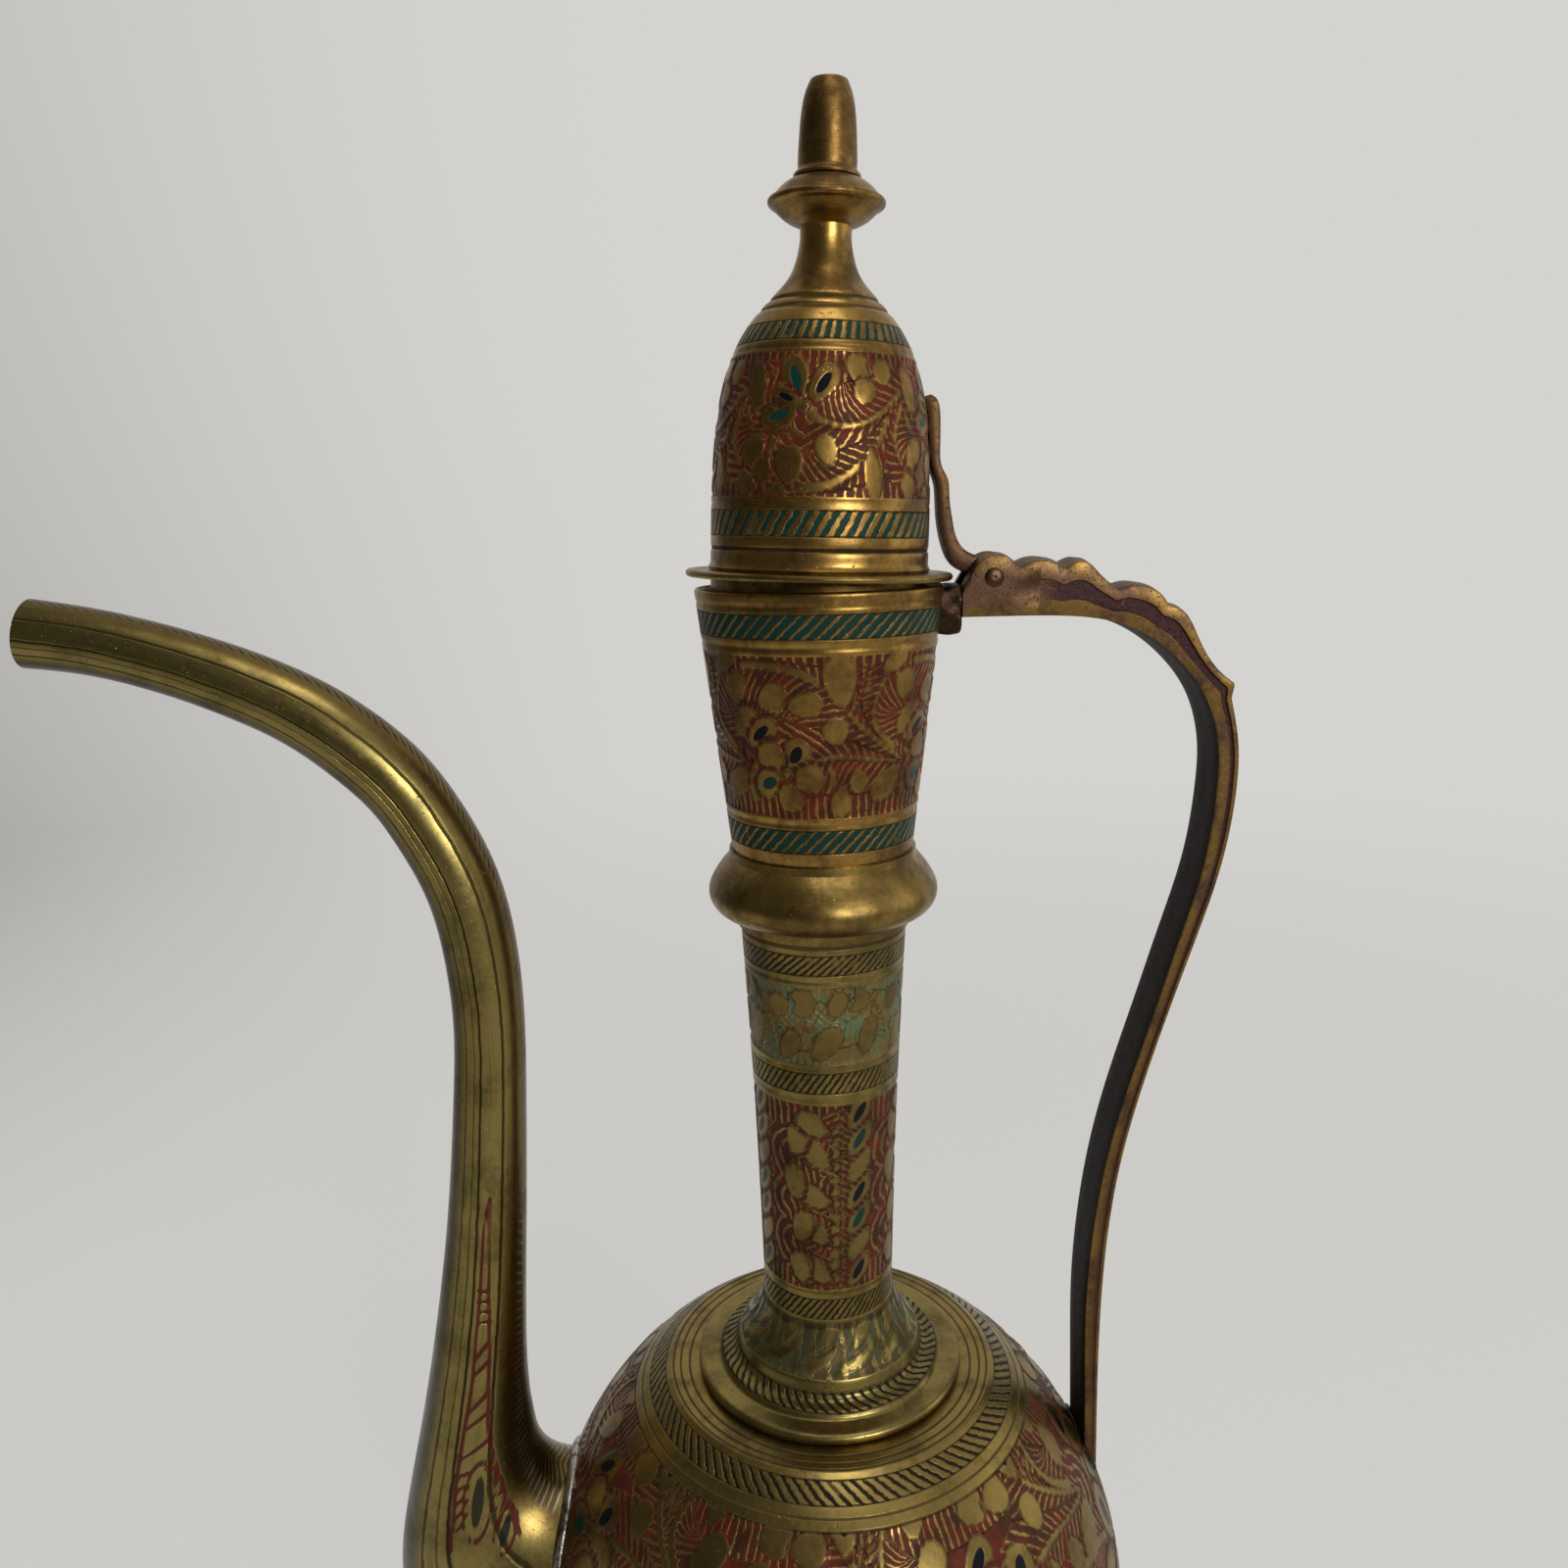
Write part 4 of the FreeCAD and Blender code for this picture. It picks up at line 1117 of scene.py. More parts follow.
class COFFEEPOT_OT_neck(bpy.types.Operator):
    """Make the neck's base, tube and bead, and the cup"""
    bl_idname = "coffeepot.neck"
    bl_label = "Neck and cup"

    def execute(self, context):
        self.make_base()
        self.make_tube()
        self.make_bead()
        self.make_cup()
        return {"FINISHED"}

    def make_base(self):
        """Bright stepped disc, a hatched ring and the flared skirt."""
        wall, disc, neck = mm("wall"), mm("base_radius"), mm("neck_radius")
        bore = neck - wall
        half_step, ring_radius, skirt_radius = 1.2, 24.4, 19.4
        step = SHOULDER + 2 * half_step
        ring = step + wall
        skirt = ring + (NECK_FOOT - ring) * 0.28
        edge = disc - half_step
        outside = joined(straight_run([(bore, SHOULDER), (edge, SHOULDER)], 3.0),
                         arc_run((edge, SHOULDER), (disc, SHOULDER + half_step), (edge, step), 0.3),
                         straight_run([(edge, step), (ring_radius, step)], 0.5),
                         smooth_run([(ring_radius, step), (23.9, step + 0.5), (23.4, ring),
                                     (21.0, ring + 0.6), (19.7, skirt - 0.8), (skirt_radius, skirt)], 0.25),
                         smooth_run([(skirt_radius, skirt),
                                     ((skirt_radius + 2 * neck) / 3, (skirt + NECK_FOOT) / 2),
                                     (neck, NECK_FOOT)], 0.3))
        inside = straight_run([(bore, NECK_FOOT), (bore, SHOULDER)], 4.0)
        piece = lathe("pot_neck_base", joined(outside, inside), turns=300)

        def draw(work):
            for across in (-8.2, 0.4):
                work.leaf((across, 4.6), -22, 9.4, 2.7)
                work.leaf((across + 3.4, 2.0), -22, 6.4, 1.5)

        engrave_bands(piece, outwards, (16.5, 6, neck + 0.2, SKIRT_END, draw))
        work = Ornament("neck base brass", 0.42, 0.9)
        paints = colours()
        work.flowers(neck + 0.2, SKIRT_END, paints.teal, paints.soot_and_shade, strokes=3.2, fill=0.75)
        work.hatch(20.2, 23.6, 64, -0.44, paints.soot_and_shade, bar=0.36)
        work.ring(neck + 0.3, 0.2, 0.6)
        dress(piece, "pot", "engraved_brass", work.done(), "neck_base")

    def make_tube(self):
        """Neck with a grey-green band above a red one, between hatched rings."""
        wall, foot, top = mm("wall"), mm("neck_radius"), mm("neck_top_radius")
        middle = (NECK_FOOT + BEAD_FOOT) / 2
        middle_radius = foot + (top - foot) * 0.36
        outside = smooth_run([(foot, NECK_FOOT), (middle_radius, middle), (top, BEAD_FOOT)], 0.4)
        outside = grooved(outside, (236.7, 0.16, 0.35), (218.1, 0.14, 0.3), (211.4, 0.14, 0.3),
                          (166.8, 0.14, 0.3))
        inside = smooth_run([(top - wall, BEAD_FOOT), (middle_radius - wall, middle),
                             (foot - wall, NECK_FOOT)], 3.0)
        piece = lathe("pot_neck_tube", joined(outside, inside), turns=320)
        engrave_bands(piece, upright, (15.9, 4, *LEAF_BAND, neck_leaves), (14.3, 4, *VINE_BAND, neck_vine))
        work = Ornament("neck brass", 0.46, 0.8)
        paints = colours()
        work.flowers(*VINE_BAND, paints.red, paints.deep_red, leaf_tint=0.35, strokes=1.6)
        work.flowers(*LEAF_BAND, paints.verdigris, paints.tarnish, leaf_tint=0.45, strokes=1.5, fill=0.85)
        for low, high, count, lean in ((238.0, 242.0, 62, -0.66), (212.7, 217.0, 66, -0.46),
                                       (160.8, 165.6, 60, -0.5)):
            work.hatch(low, high, count, lean, paints.soot_and_shade, bar=0.34)
        # Painted shade: a wide dark band round the neck's top, under the bead.
        work.ring(244.5, 1.2, 0.7)
        dress(piece, "pot", "engraved_brass", work.done(), "neck_tube")

    def make_bead(self):
        """Round polished ring with a crease at each side."""
        bore = mm("neck_top_radius") - mm("wall")
        low = (mm("neck_top_radius") + 0.6, BEAD_FOOT)
        high = (mm("cup_foot_radius") + 0.6, CUP_FOOT)
        widest, tall = mm("bead_radius"), CUP_FOOT - BEAD_FOOT
        collar = [low, (low[0] + 0.1, BEAD_FOOT + 0.125 * tall)]
        swell = [(widest - 2.6, 0.185), (widest - 0.6, 0.3), (widest, 0.455), (widest - 0.8, 0.61),
                 (widest - 2.8, 0.8), (high[0] + 0.1, 0.905)]
        swell = [(out, BEAD_FOOT + share * tall) for out, share in swell]
        round_side = joined(straight_run(collar, 0.5), smooth_run(collar[1:] + swell, 0.35), [high])
        inside = straight_run([(bore, CUP_FOOT), (bore, BEAD_FOOT)], 3.0)
        piece = lathe("pot_neck_bead", joined(round_side, inside), turns=240)
        dress(piece, "pot", "plain_brass", plain_brass("bead brass", 0.5, 0.4), "neck_bead")

    def make_cup(self):
        """Tapered cup with a red floral band between green hatched rings."""
        wall, foot, rim = mm("wall"), mm("cup_foot_radius"), mm("cup_rim_radius")
        lip_foot = RIM - 0.6
        outside = straight_run([(foot, CUP_FOOT), (rim - 0.05, lip_foot)], 0.4)
        outside = grooved(outside, (302.0, 0.18, 0.4), (268.7, 0.18, 0.4), (309.4, 0.16, 0.35))
        lip = arc_run((rim - 0.05, lip_foot), (rim - wall / 2, RIM), (rim - wall + 0.05, lip_foot), 0.25)
        inside = straight_run([(rim - wall, lip_foot), (foot - wall, CUP_FOOT)], 2.5)
        piece = lathe("pot_neck_cup", joined(outside, lip, inside), turns=400)

        def draw(work):
            sprig(work, 0.0, 0.2)

        engrave_bands(piece, upright, (21.2, 4, *CUP_BAND, draw))
        work = Ornament("cup brass", 0.46)
        paints = colours()
        work.flowers(*CUP_BAND, paints.red, paints.deep_red, leaf_tint=0.25, strokes=1.7)
        work.hatch(303.6, 308.0, 60, -0.42, paints.teal, bar=0.68, worn=0.5)
        work.hatch(263.0, 267.5, 50, -0.42, paints.teal, bar=0.66, worn=0.5)
        dress(piece, "pot", "engraved_brass", work.done(), "neck_cup")


class COFFEEPOT_OT_lid(bpy.types.Operator):
    """Make the lid with its dome, flange, spigot and finial, standing ajar"""
    bl_idname = "coffeepot.lid"
    bl_label = "Lid"

    def execute(self, context):
        flange_foot = RIM + 0.3
        dome_foot = flange_foot + mm("wall")
        disc_foot = dome_foot + mm("dome_height")
        self.make_dome(dome_foot, disc_foot)
        self.make_flange(flange_foot, dome_foot)
        self.make_spigot(flange_foot)
        self.make_finial(disc_foot)
        return {"FINISHED"}

    def make_dome(self, foot, top):
        """Dome with hatched rings, a floral band and a waisted stem."""
        wall, radius, height, stem = mm("wall"), mm("dome_radius"), mm("dome_height"), mm("stem_radius")
        shares = ((1.0, 0.0), (0.985, 0.31), (0.905, 0.535), (0.75, 0.677), (0.575, 0.76))
        dome = [(radius * share, foot + height * rise) for share, rise in shares]
        root = top - 14.8
        neck = [(stem + 3.9, root + 3.6), (stem + 1.4, root + 7.0), (stem, top - 2.5), (stem, top)]
        outside = smooth_run(dome + neck, 0.38)
        outside = grooved(outside, (362.2, 0.35, 0.4), (360.3, 0.3, 0.4), (326.0, 0.14, 0.3),
                          (352.6, 0.14, 0.3), (317.8, 0.3, 0.35), (foot + 0.5, -0.45, 0.5))
        inside = [(radius * share - wall, foot + height * rise - wall * (1 - share) * 2)
                  for share, rise in shares]
        last_out, last_up = inside[-1]
        crown = last_up + wall
        under = smooth_run([(0.0, crown), (last_out * 0.6, last_up + wall * 0.6)] + inside[::-1], 2.0)
        piece = lathe("pot_lid_dome", joined(outside, [(0.0, top), (0.0, crown)], under), turns=400)
        engrave_bands(piece, upright, (19.6, 4, *DOME_BAND, dome_flowers))
        work = Ornament("dome brass", 0.44)
        paints = colours()
        work.flowers(*DOME_BAND, paints.red, paints.deep_red, leaf_tint=0.15, strokes=1.7)
        work.hatch(354.0, 357.3, 54, -0.16, paints.teal, bar=0.46)
        work.hatch(320.2, 324.7, 56, -0.24, paints.teal, bar=0.46)
        for level, half_width, share in ((317.8, 0.35, 0.9), (362.2, 0.3, 0.8), (360.3, 0.3, 0.7)):
            work.ring(level, half_width, share)
        dress(piece, "lid", "engraved_brass", work.done(), "lid_dome")

    def make_flange(self, foot, top):
        """Thin plate with a rounded edge."""
        bore = mm("dome_radius") - mm("wall")
        edge = mm("flange_radius") - 0.7
        outline = joined(straight_run([(bore, foot), (edge, foot)], 1.5),
                         arc_run((edge, foot), (mm("flange_radius"), (foot + top) / 2), (edge, top), 0.25),
                         straight_run([(edge, top), (edge - 1.4, top - 0.12), (bore, top)], 1.5))
        piece = lathe("pot_lid_flange", outline, turns=240)
        dress(piece, "lid", "plain_brass", plain_brass("flange brass", 0.5, 0.3), "lid_flange")

    def make_spigot(self, top):
        """Short tube with a rolled lower edge."""
        radius, wall = mm("dome_radius"), mm("wall")
        foot = top - 7.0
        half = wall / 2
        outline = joined(straight_run([(radius, top), (radius, foot + half)], 1.0),
                         arc_run((radius, foot + half), (radius - half, foot),
                                 (radius - wall, foot + half), 0.3),
                         straight_run([(radius - wall, foot + half), (radius - wall, top)], 1.5))
        piece = lathe("pot_lid_spigot", outline, turns=192)
        dress(piece, "lid", "plain_brass", plain_brass("spigot brass", 0.55), "lid_spigot")

    def make_finial(self, foot):
        """Lens-shaped disc and the bullet tip over it."""
        stem, disc, tip = mm("stem_radius"), mm("disc_radius"), mm("tip_radius")
        rim, top, half_rim = foot + 4.1, foot + 8.3, 0.8
        shoulder = disc - half_rim
        low_edge, high_edge = (shoulder, rim - half_rim), (shoulder, rim + half_rim)
        outline = joined([(0.0, top), (0.0, foot)], straight_run([(0.0, foot), (stem, foot)], 1.2),
                         smooth_run([(stem, foot), ((stem + shoulder) / 2, foot + 1.1), low_edge], 0.3),
                         arc_run(low_edge, (disc, rim), high_edge, 0.2),
                         smooth_run([high_edge, ((tip + shoulder) / 2, top - 1.1), (tip, top)], 0.3))
        finish = plain_brass("finial brass", 0.56)
        plate = lathe("pot_finial_disc", outline, turns=160)
        dress(plate, "lid", "plain_brass", finish, "finial_disc")
        height = mm("tip_height")
        end = top + height
        side = smooth_run([(tip + 0.7, top), (tip + 0.75, top + 0.5), (tip + 0.1, top + 1.2),
                           (tip, top + 2.2), (tip * 0.98, top + height * 0.35),
                           (tip * 0.92, top + height * 0.64), (tip * 0.8, top + height * 0.86),
                           (tip * 0.65, end - 0.25)], 0.3)
        outline = joined([(0.0, end), (0.0, top)], side, [(tip * 0.62, end)])
        bullet = lathe("pot_finial_tip", outline, turns=160)
        dress(bullet, "lid", "plain_brass", finish, "finial_tip")


def spout_rows(step):
    """Rows of the spout: inner edge, outer edge and half depth across, along its length."""
    def spot(out, up):
        return -mm("body_radius") - out, EQUATOR + up

    root = [((-22.0, 27.0), (-9.0, -25.0), 21.5), ((-8.0, 29.0), (8.0, -23.5), 20.3),
            ((-2.4, 31.8), (20.5, -18.0), 18.6), ((0.2, 36.0), (29.6, -8.0), 16.8),
            ((1.2, 41.5), (32.4, 8.0), 15.0), ((1.8, 49.0), (29.6, 26.0), 13.2),
            ((1.7, 60.0), (24.0, 50.0), 10.9)]
    rows = [(*spot(*inner), *spot(*outer), half) for inner, outer, half in root]
    riser = [(9.8, 75.7, 9.0), (7.2, 99.0, 8.0), (5.2, 122.0, 7.4), (4.4, 136.0, 7.2), (4.7, 148.0, 7.3),
             (6.0, 159.0, 7.4), (8.9, 169.6, 7.5), (14.6, 181.3, 7.5), (20.5, 189.5, 7.5),
             (32.7, 200.0, 7.2), (43.8, 206.2, 6.9), (56.0, 211.2, 6.6), (72.0, 216.0, 6.4),
             (85.0, 218.2, 6.6)]
    places = [np.array(spot(out, up)) for out, up, radius in riser]
    for index, (out, up, radius) in enumerate(riser):
        along = places[min(index + 1, len(riser) - 1)] - places[max(index - 1, 0)]
        along /= np.linalg.norm(along)
        inward = np.array((along[1], -along[0])) * radius
        rows.append((*(places[index] + inward), *(places[index] - inward), radius * SPOUT_FLATTEN))
    return smooth_run(rows, step)


def tube_places(rows, columns):
    """Points of a tube from rows of inner edge, outer edge and half depth."""
    turns = np.linspace(0, FULL_TURN, columns + 1)
    inner = np.column_stack((rows[:, 0], np.zeros(len(rows)), rows[:, 1]))
    outer = np.column_stack((rows[:, 2], np.zeros(len(rows)), rows[:, 3]))
    centre, reach = (inner + outer) / 2, (inner - outer) / 2
    depth = np.outer(rows[:, 4], (0.0, 1.0, 0.0))
    return (centre[:, None] + reach[:, None] * np.cos(turns)[None, :, None]
            + depth[:, None] * np.sin(turns)[None, :, None])


def bead_along(name, path, widths, heights, up):
    """A closed bead of solder along a path, with its own width, height and up direction at each point."""
    ring = np.linspace(0, FULL_TURN, 17)
    closed = np.vstack((path, path[:1]))
    ahead = np.roll(path, -1, axis=0) - np.roll(path, 1, axis=0)
    ahead /= np.linalg.norm(ahead, axis=1)[:, None]
    side = np.cross(ahead, up)
    side /= np.linalg.norm(side, axis=1)[:, None]
    side, up = np.vstack((side, side[:1])), np.vstack((up, up[:1]))
    widths, heights = np.append(widths, widths[0]), np.append(heights, heights[0])
    places = (closed[:, None] + side[:, None] * (widths[:, None] * np.cos(ring))[:, :, None]
              + up[:, None] * (heights[:, None] * np.sin(ring))[:, :, None])
    piece = sheet_grid(name, places)[0]
    close_mesh(piece, 0.01)
    return smooth(piece, 60.0)


def lumps(count, seed, size):
    """Smooth seeded unevenness round a closed bead."""
    random = np.random.default_rng(seed)
    turns = np.linspace(0, FULL_TURN, count, endpoint=False)
    total = np.zeros(count)
    for wave in range(2, 14):
        total += random.normal() / wave ** 0.5 * np.sin(wave * turns + random.uniform(0, FULL_TURN))
    return 1 + size * total / np.abs(total).max()


class COFFEEPOT_OT_spout(bpy.types.Operator):
    """Make the spout's two lengths and the solder seam round its root"""
    bl_idname = "coffeepot.spout"
    bl_label = "Spout"

    def execute(self, context):
        rows = spout_rows(0.7)
        columns = 96
        places = tube_places(rows, columns)
        middle = places.mean(axis=1)
        joint = EQUATOR + 160.0
        split = int(np.argmax(middle[:, 2] > joint))
        along = np.concatenate(([0.0], np.cumsum(np.linalg.norm(np.diff(middle, axis=0), axis=1))))
        finish = spout_brass()
        self.make_length("pot_spout_lower", "spout_lower", places[:split + 1], along[:split + 1], finish)
        self.make_length("pot_spout_upper", "spout_upper", places[split:], along[split:], finish)
        self.make_seam(places)
        return {"FINISHED"}

    def make_length(self, name, node, places, along, finish):
        """One length of the hollow spout."""
        piece, row, column = sheet_grid(name, places)
        vertices = corner_values(piece)[0]
        write_map(piece, column[vertices] / (places.shape[1] - 1), along[row][vertices])
        close_mesh(piece)
        spots = vertex_places(piece)
        work = Engraving(spots[:, 0], spots[:, 2], 1000.0, RIM)
        spout_panel(work)
        keep_values(piece, motif=work.motif, ink=work.ink, rise=spots[:, 2])
        wall = piece.modifiers.new("wall", "SOLIDIFY")
        wall.thickness = sizes().spout_wall
        wall.offset = -1
        apply_modifiers(piece)
        smooth(piece)
        dress(piece, "pot", "spout_brass", finish, node)

    def make_seam(self, places):
        """Bright solder where the spout's root meets the body."""
        ball = mm("body_radius")
        centre = np.array((0.0, 0.0, EQUATOR))
        path = []
        for column in range(places.shape[1] - 1):
            line = places[:, column]
            away = np.linalg.norm(line - centre, axis=1) - ball
            first = int(np.argmax(away > 0))
            if first == 0:
                raise ValueError("the spout's root must start inside the body")
            share = -away[first - 1] / (away[first] - away[first - 1])
            path.append(line[first - 1] + (line[first] - line[first - 1]) * share)
        path = np.array(path)
        up = (path - centre) / np.linalg.norm(path - centre, axis=1)[:, None]
        count = len(path)
        piece = bead_along("pot_spout_seam", path, 1.9 * lumps(count, 3, 0.25),
                           1.1 * lumps(count, 5, 0.3), up)
        dress(piece, "pot", "solder", solder_finish("spout solder", 1.0), "spout_seam")


def handle_edges():
    """The handle's smooth inner edge and its scalloped outer edge, from the cup to the body."""
    rim = mm("cup_rim_radius")
    land_x = LANDING_OUT * mm("body_radius")
    land_z = EQUATOR + LANDING_UP * mm("body_radius")

    def top(out, up):
        return rim + out, RIM + up

    def low(out, up):
        return land_x + out, land_z + up

    inner = smooth_run([top(PAD_DEPTH, -6.4), top(12.0, -6.4), top(24.2, -6.7), top(33.8, -8.4),
                        top(40.8, -12.0), top(46.4, -16.9), top(51.3, -23.8), top(54.0, -33.0),
                        top(54.2, -42.0), top(52.4, -57.2), top(48.0, -73.6), low(9.7, 103.5),
                        low(4.7, 86.1), low(0.8, 68.2), low(-1.4, 49.0), low(-1.9, 34.0), low(-1.5, 18.0),
                        low(-0.9, -2.5)], 0.5)
    notches = [top(13.6, 2.6), top(22.6, 2.3), top(33.0, -1.9), top(42.9, -5.0)]
    spur_tip, spur_under = top(56.8, -20.6), top(56.3, -23.4)
    fine = 0.2
    outer = joined(straight_run([top(PAD_DEPTH, -6.4), top(PAD_DEPTH, -1.0), top(4.6, 2.0)], fine),
                   arc_run(top(4.6, 2.0), top(8.9, 5.3), notches[0], fine),
                   arc_run(notches[0], top(18.2, 4.1), notches[1], fine),
                   smooth_run([notches[1], top(24.4, 3.6), top(26.8, 3.5), top(29.3, 1.2),
                               notches[2]], fine),
                   smooth_run([notches[2], top(35.4, -1.1), top(38.6, -1.4), top(41.4, -2.9),
                               notches[3]], fine),
                   smooth_run([notches[3], top(45.5, -5.9), top(47.6, -8.4), top(50.2, -13.5),
                               top(53.6, -18.0), spur_tip], fine),
                   straight_run([spur_tip, spur_under], fine),
                   smooth_run([spur_under, top(58.2, -32.5), top(58.3, -43.0), top(56.2, -57.3),
                               top(51.5, -73.8), low(12.8, 103.4), low(7.9, 86.0), low(4.1, 68.0),
                               low(2.0, 47.0), low(1.5, 27.0), low(1.6, 12.0), low(1.9, -2.5)], fine))
    return inner, outer


def thickness_along(inner, outer):
    """Unit normals of the inner edge, and how far each goes to meet the outer edge."""
    ahead = np.gradient(inner, axis=0)
    ahead /= np.linalg.norm(ahead, axis=1)[:, None]
    normals = np.column_stack((-ahead[:, 1], ahead[:, 0]))
    start, sweep = outer[:-1], np.diff(outer, axis=0)
    thick = []
    for place, normal in zip(inner, normals):
        gap = start - place
        area = normal[0] * sweep[:, 1] - normal[1] * sweep[:, 0]
        area = np.where(np.abs(area) < 1e-9, 1e-9, area)
        reach = (gap[:, 0] * sweep[:, 1] - gap[:, 1] * sweep[:, 0]) / area
        share = (gap[:, 0] * normal[1] - gap[:, 1] * normal[0]) / area
        hits = reach[(share >= -0.01) & (share <= 1.01) & (reach > 0.4)]
        thick.append(hits.min() if len(hits) else (thick[-1] if thick else 5.0))
    return normals, np.array(thick)


class COFFEEPOT_OT_handle(bpy.types.Operator):
    """Make the forked handle with its pads"""
    bl_idname = "coffeepot.handle"
    bl_label = "Handle"

    def execute(self, context):
        self.make_handle()
        self.make_top_pad()
        self.make_foot_pad()
        return {"FINISHED"}

    def make_handle(self):
        """Swept strap with a recessed channel at each side, a crowned top and a forked end."""
        inner, outer = handle_edges()
        normals, thick = thickness_along(inner, outer)
        half = mm("handle_width") / 2
        count = len(inner)
        shares = np.linspace(0, 1, count)
        depth = np.interp(shares, (0.0, 0.05, 0.09, 0.13, 0.26, 0.45, 0.93, 1.0),
                          (0.0, 0.0, 0.3, 0.5, 0.5, 0.32, 0.2, 0.0))
        floor = np.interp(shares, (0.0, 0.12, 0.24, 0.32, 1.0), (0.3, 0.3, 0.34, 0.54, 0.54)) * thick
        roof = np.interp(shares, (0.0, 0.12, 0.24, 0.32, 1.0), (0.66, 0.66, 0.7, 0.76, 0.74)) * thick
        edge = np.minimum(0.5, thick * 0.13)
        crown = np.minimum(0.5, thick * 0.12)
        level = np.zeros(count)
        loop = [(level, level + half * 0.4, "under"), (level, half - edge, "under"),
                (edge * 0.3, half - edge * 0.3, "lip"), (edge, level + half, "lip"),
                (floor, level + half, "side"), (floor + 0.2, half - depth, "cut"),
                (roof - 0.2, half - depth, "cut"), (roof, level + half, "side"),
                (thick - edge, level + half, "rim"), (thick - edge * 0.3, half - edge * 0.3, "rim"),
                (thick, half - edge, "rim"), (thick + crown, level + half * 0.4, "top")]
        loop = mirrored(loop)
        sides = [(inner + normals * rise[:, None], across) for rise, across, kind in loop]
        piece, row, column = sheet_grid("pot_handle", swept(sides))
        kinds = np.array([kind for rise, across, kind in loop])
        kinds = kinds[column]
        # The under layer marks the inner face, which handle_brass darkens with painted shade.
        keep_values(piece, channel=(kinds == "cut") * depth[row] / 0.5, under=kinds == "under",
                    rim=np.isin(kinds, ("rim", "lip")))
        close_mesh(piece)
        cap_ends()
        self.cut_slot(piece)
        smooth(piece, 42.0)
        dress(piece, "pot", "dark_brass", handle_brass("handle brass"), "handle")

    def cut_slot(self, piece):
        """Cuts the fork in which the hinge strap turns."""
        start, floor, across = mm("cup_rim_radius") + PAD_DEPTH, PIN_Z - 5.3, 6.0
        long, tall = 11.0, 20.0
        fresh_start()
        middle = ((start + long / 2 - 1) * MM, 0, (floor + tall / 2) * MM)
        bpy.ops.mesh.primitive_cube_add(size=1, location=middle,
                                        scale=((long + 2) * MM, across * MM, tall * MM))
        cutter = bpy.context.object
        bpy.ops.object.transform_apply(location=True, rotation=True, scale=True)
        fork = piece.modifiers.new("fork", "BOOLEAN")
        fork.operation = "DIFFERENCE"
        fork.solver = "EXACT"
        fork.object = cutter
        apply_modifiers(piece)
        bpy.data.objects.remove(cutter)

    def make_top_pad(self):
        """Uneven block of solder and brass between the handle and the cup."""
        rim = mm("cup_rim_radius")
        half = mm("handle_width") / 2
        top, tall = RIM - 0.5, 9.2
        fresh_start()
        bpy.ops.mesh.primitive_cube_add(size=1)
        piece = bpy.context.object
        piece.name = "pot_handle_top_pad"
        bpy.ops.object.mode_set(mode="EDIT")
        bpy.ops.mesh.subdivide(number_cuts=7)
        bpy.ops.object.mode_set(mode="OBJECT")
        places = vertex_places(piece) * MM
        level = top + (places[:, 2] - 0.5) * tall
        across = places[:, 1] * 2 * half
        cup = mm("cup_foot_radius") + (rim - mm("cup_foot_radius")) * (level - CUP_FOOT) / (RIM - CUP_FOOT)
        start = np.sqrt(cup ** 2 - across ** 2) - 0.5
        out = start + (rim + PAD_DEPTH - start) * (places[:, 0] + 0.5)
        bulge = 0.5 * np.sin(level * 1.3 + across * 0.7) * np.cos(across * 0.9 + out)
        round_off = 1 - 0.24 * np.abs(places[:, 2] * 2) ** 3
        across = across * round_off + bulge * (np.abs(places[:, 1]) > 0.49)
        level = level + bulge * (np.abs(places[:, 2]) > 0.49)
        move_vertices(piece, np.column_stack((out, across, level)))
        soften(piece)
        smooth(piece, 60.0)
        dress(piece, "pot", "dark_brass", solder_finish("pad solder", 0.0, 0.8), "handle_top_pad")

    def make_foot_pad(self):
        """Bead of solder round the handle's lower end, on the body."""
        ball = mm("body_radius")
        half = mm("handle_width") / 2 + 0.3
        low, high = EQUATOR + 27.2, EQUATOR + 32.2
        corners = [(-half, low), (-half, high), (half, high), (half, low), (-half, low)]
        flat = joined(straight_run(corners, 0.8)[:-1])
        reach = np.sqrt(ball ** 2 - flat[:, 0] ** 2 - (flat[:, 1] - EQUATOR) ** 2)
        path = np.column_stack((reach, flat[:, 0], flat[:, 1]))
        up = path - np.array((0.0, 0.0, EQUATOR))
        up /= np.linalg.norm(up, axis=1)[:, None]
        count = len(path)
        piece = bead_along("pot_handle_foot_pad", path, 0.9 * lumps(count, 8, 0.3),
                           0.7 * lumps(count, 9, 0.35), up)
        dress(piece, "pot", "solder", solder_finish("foot solder", -0.5, 0.5), "handle_foot_pad")


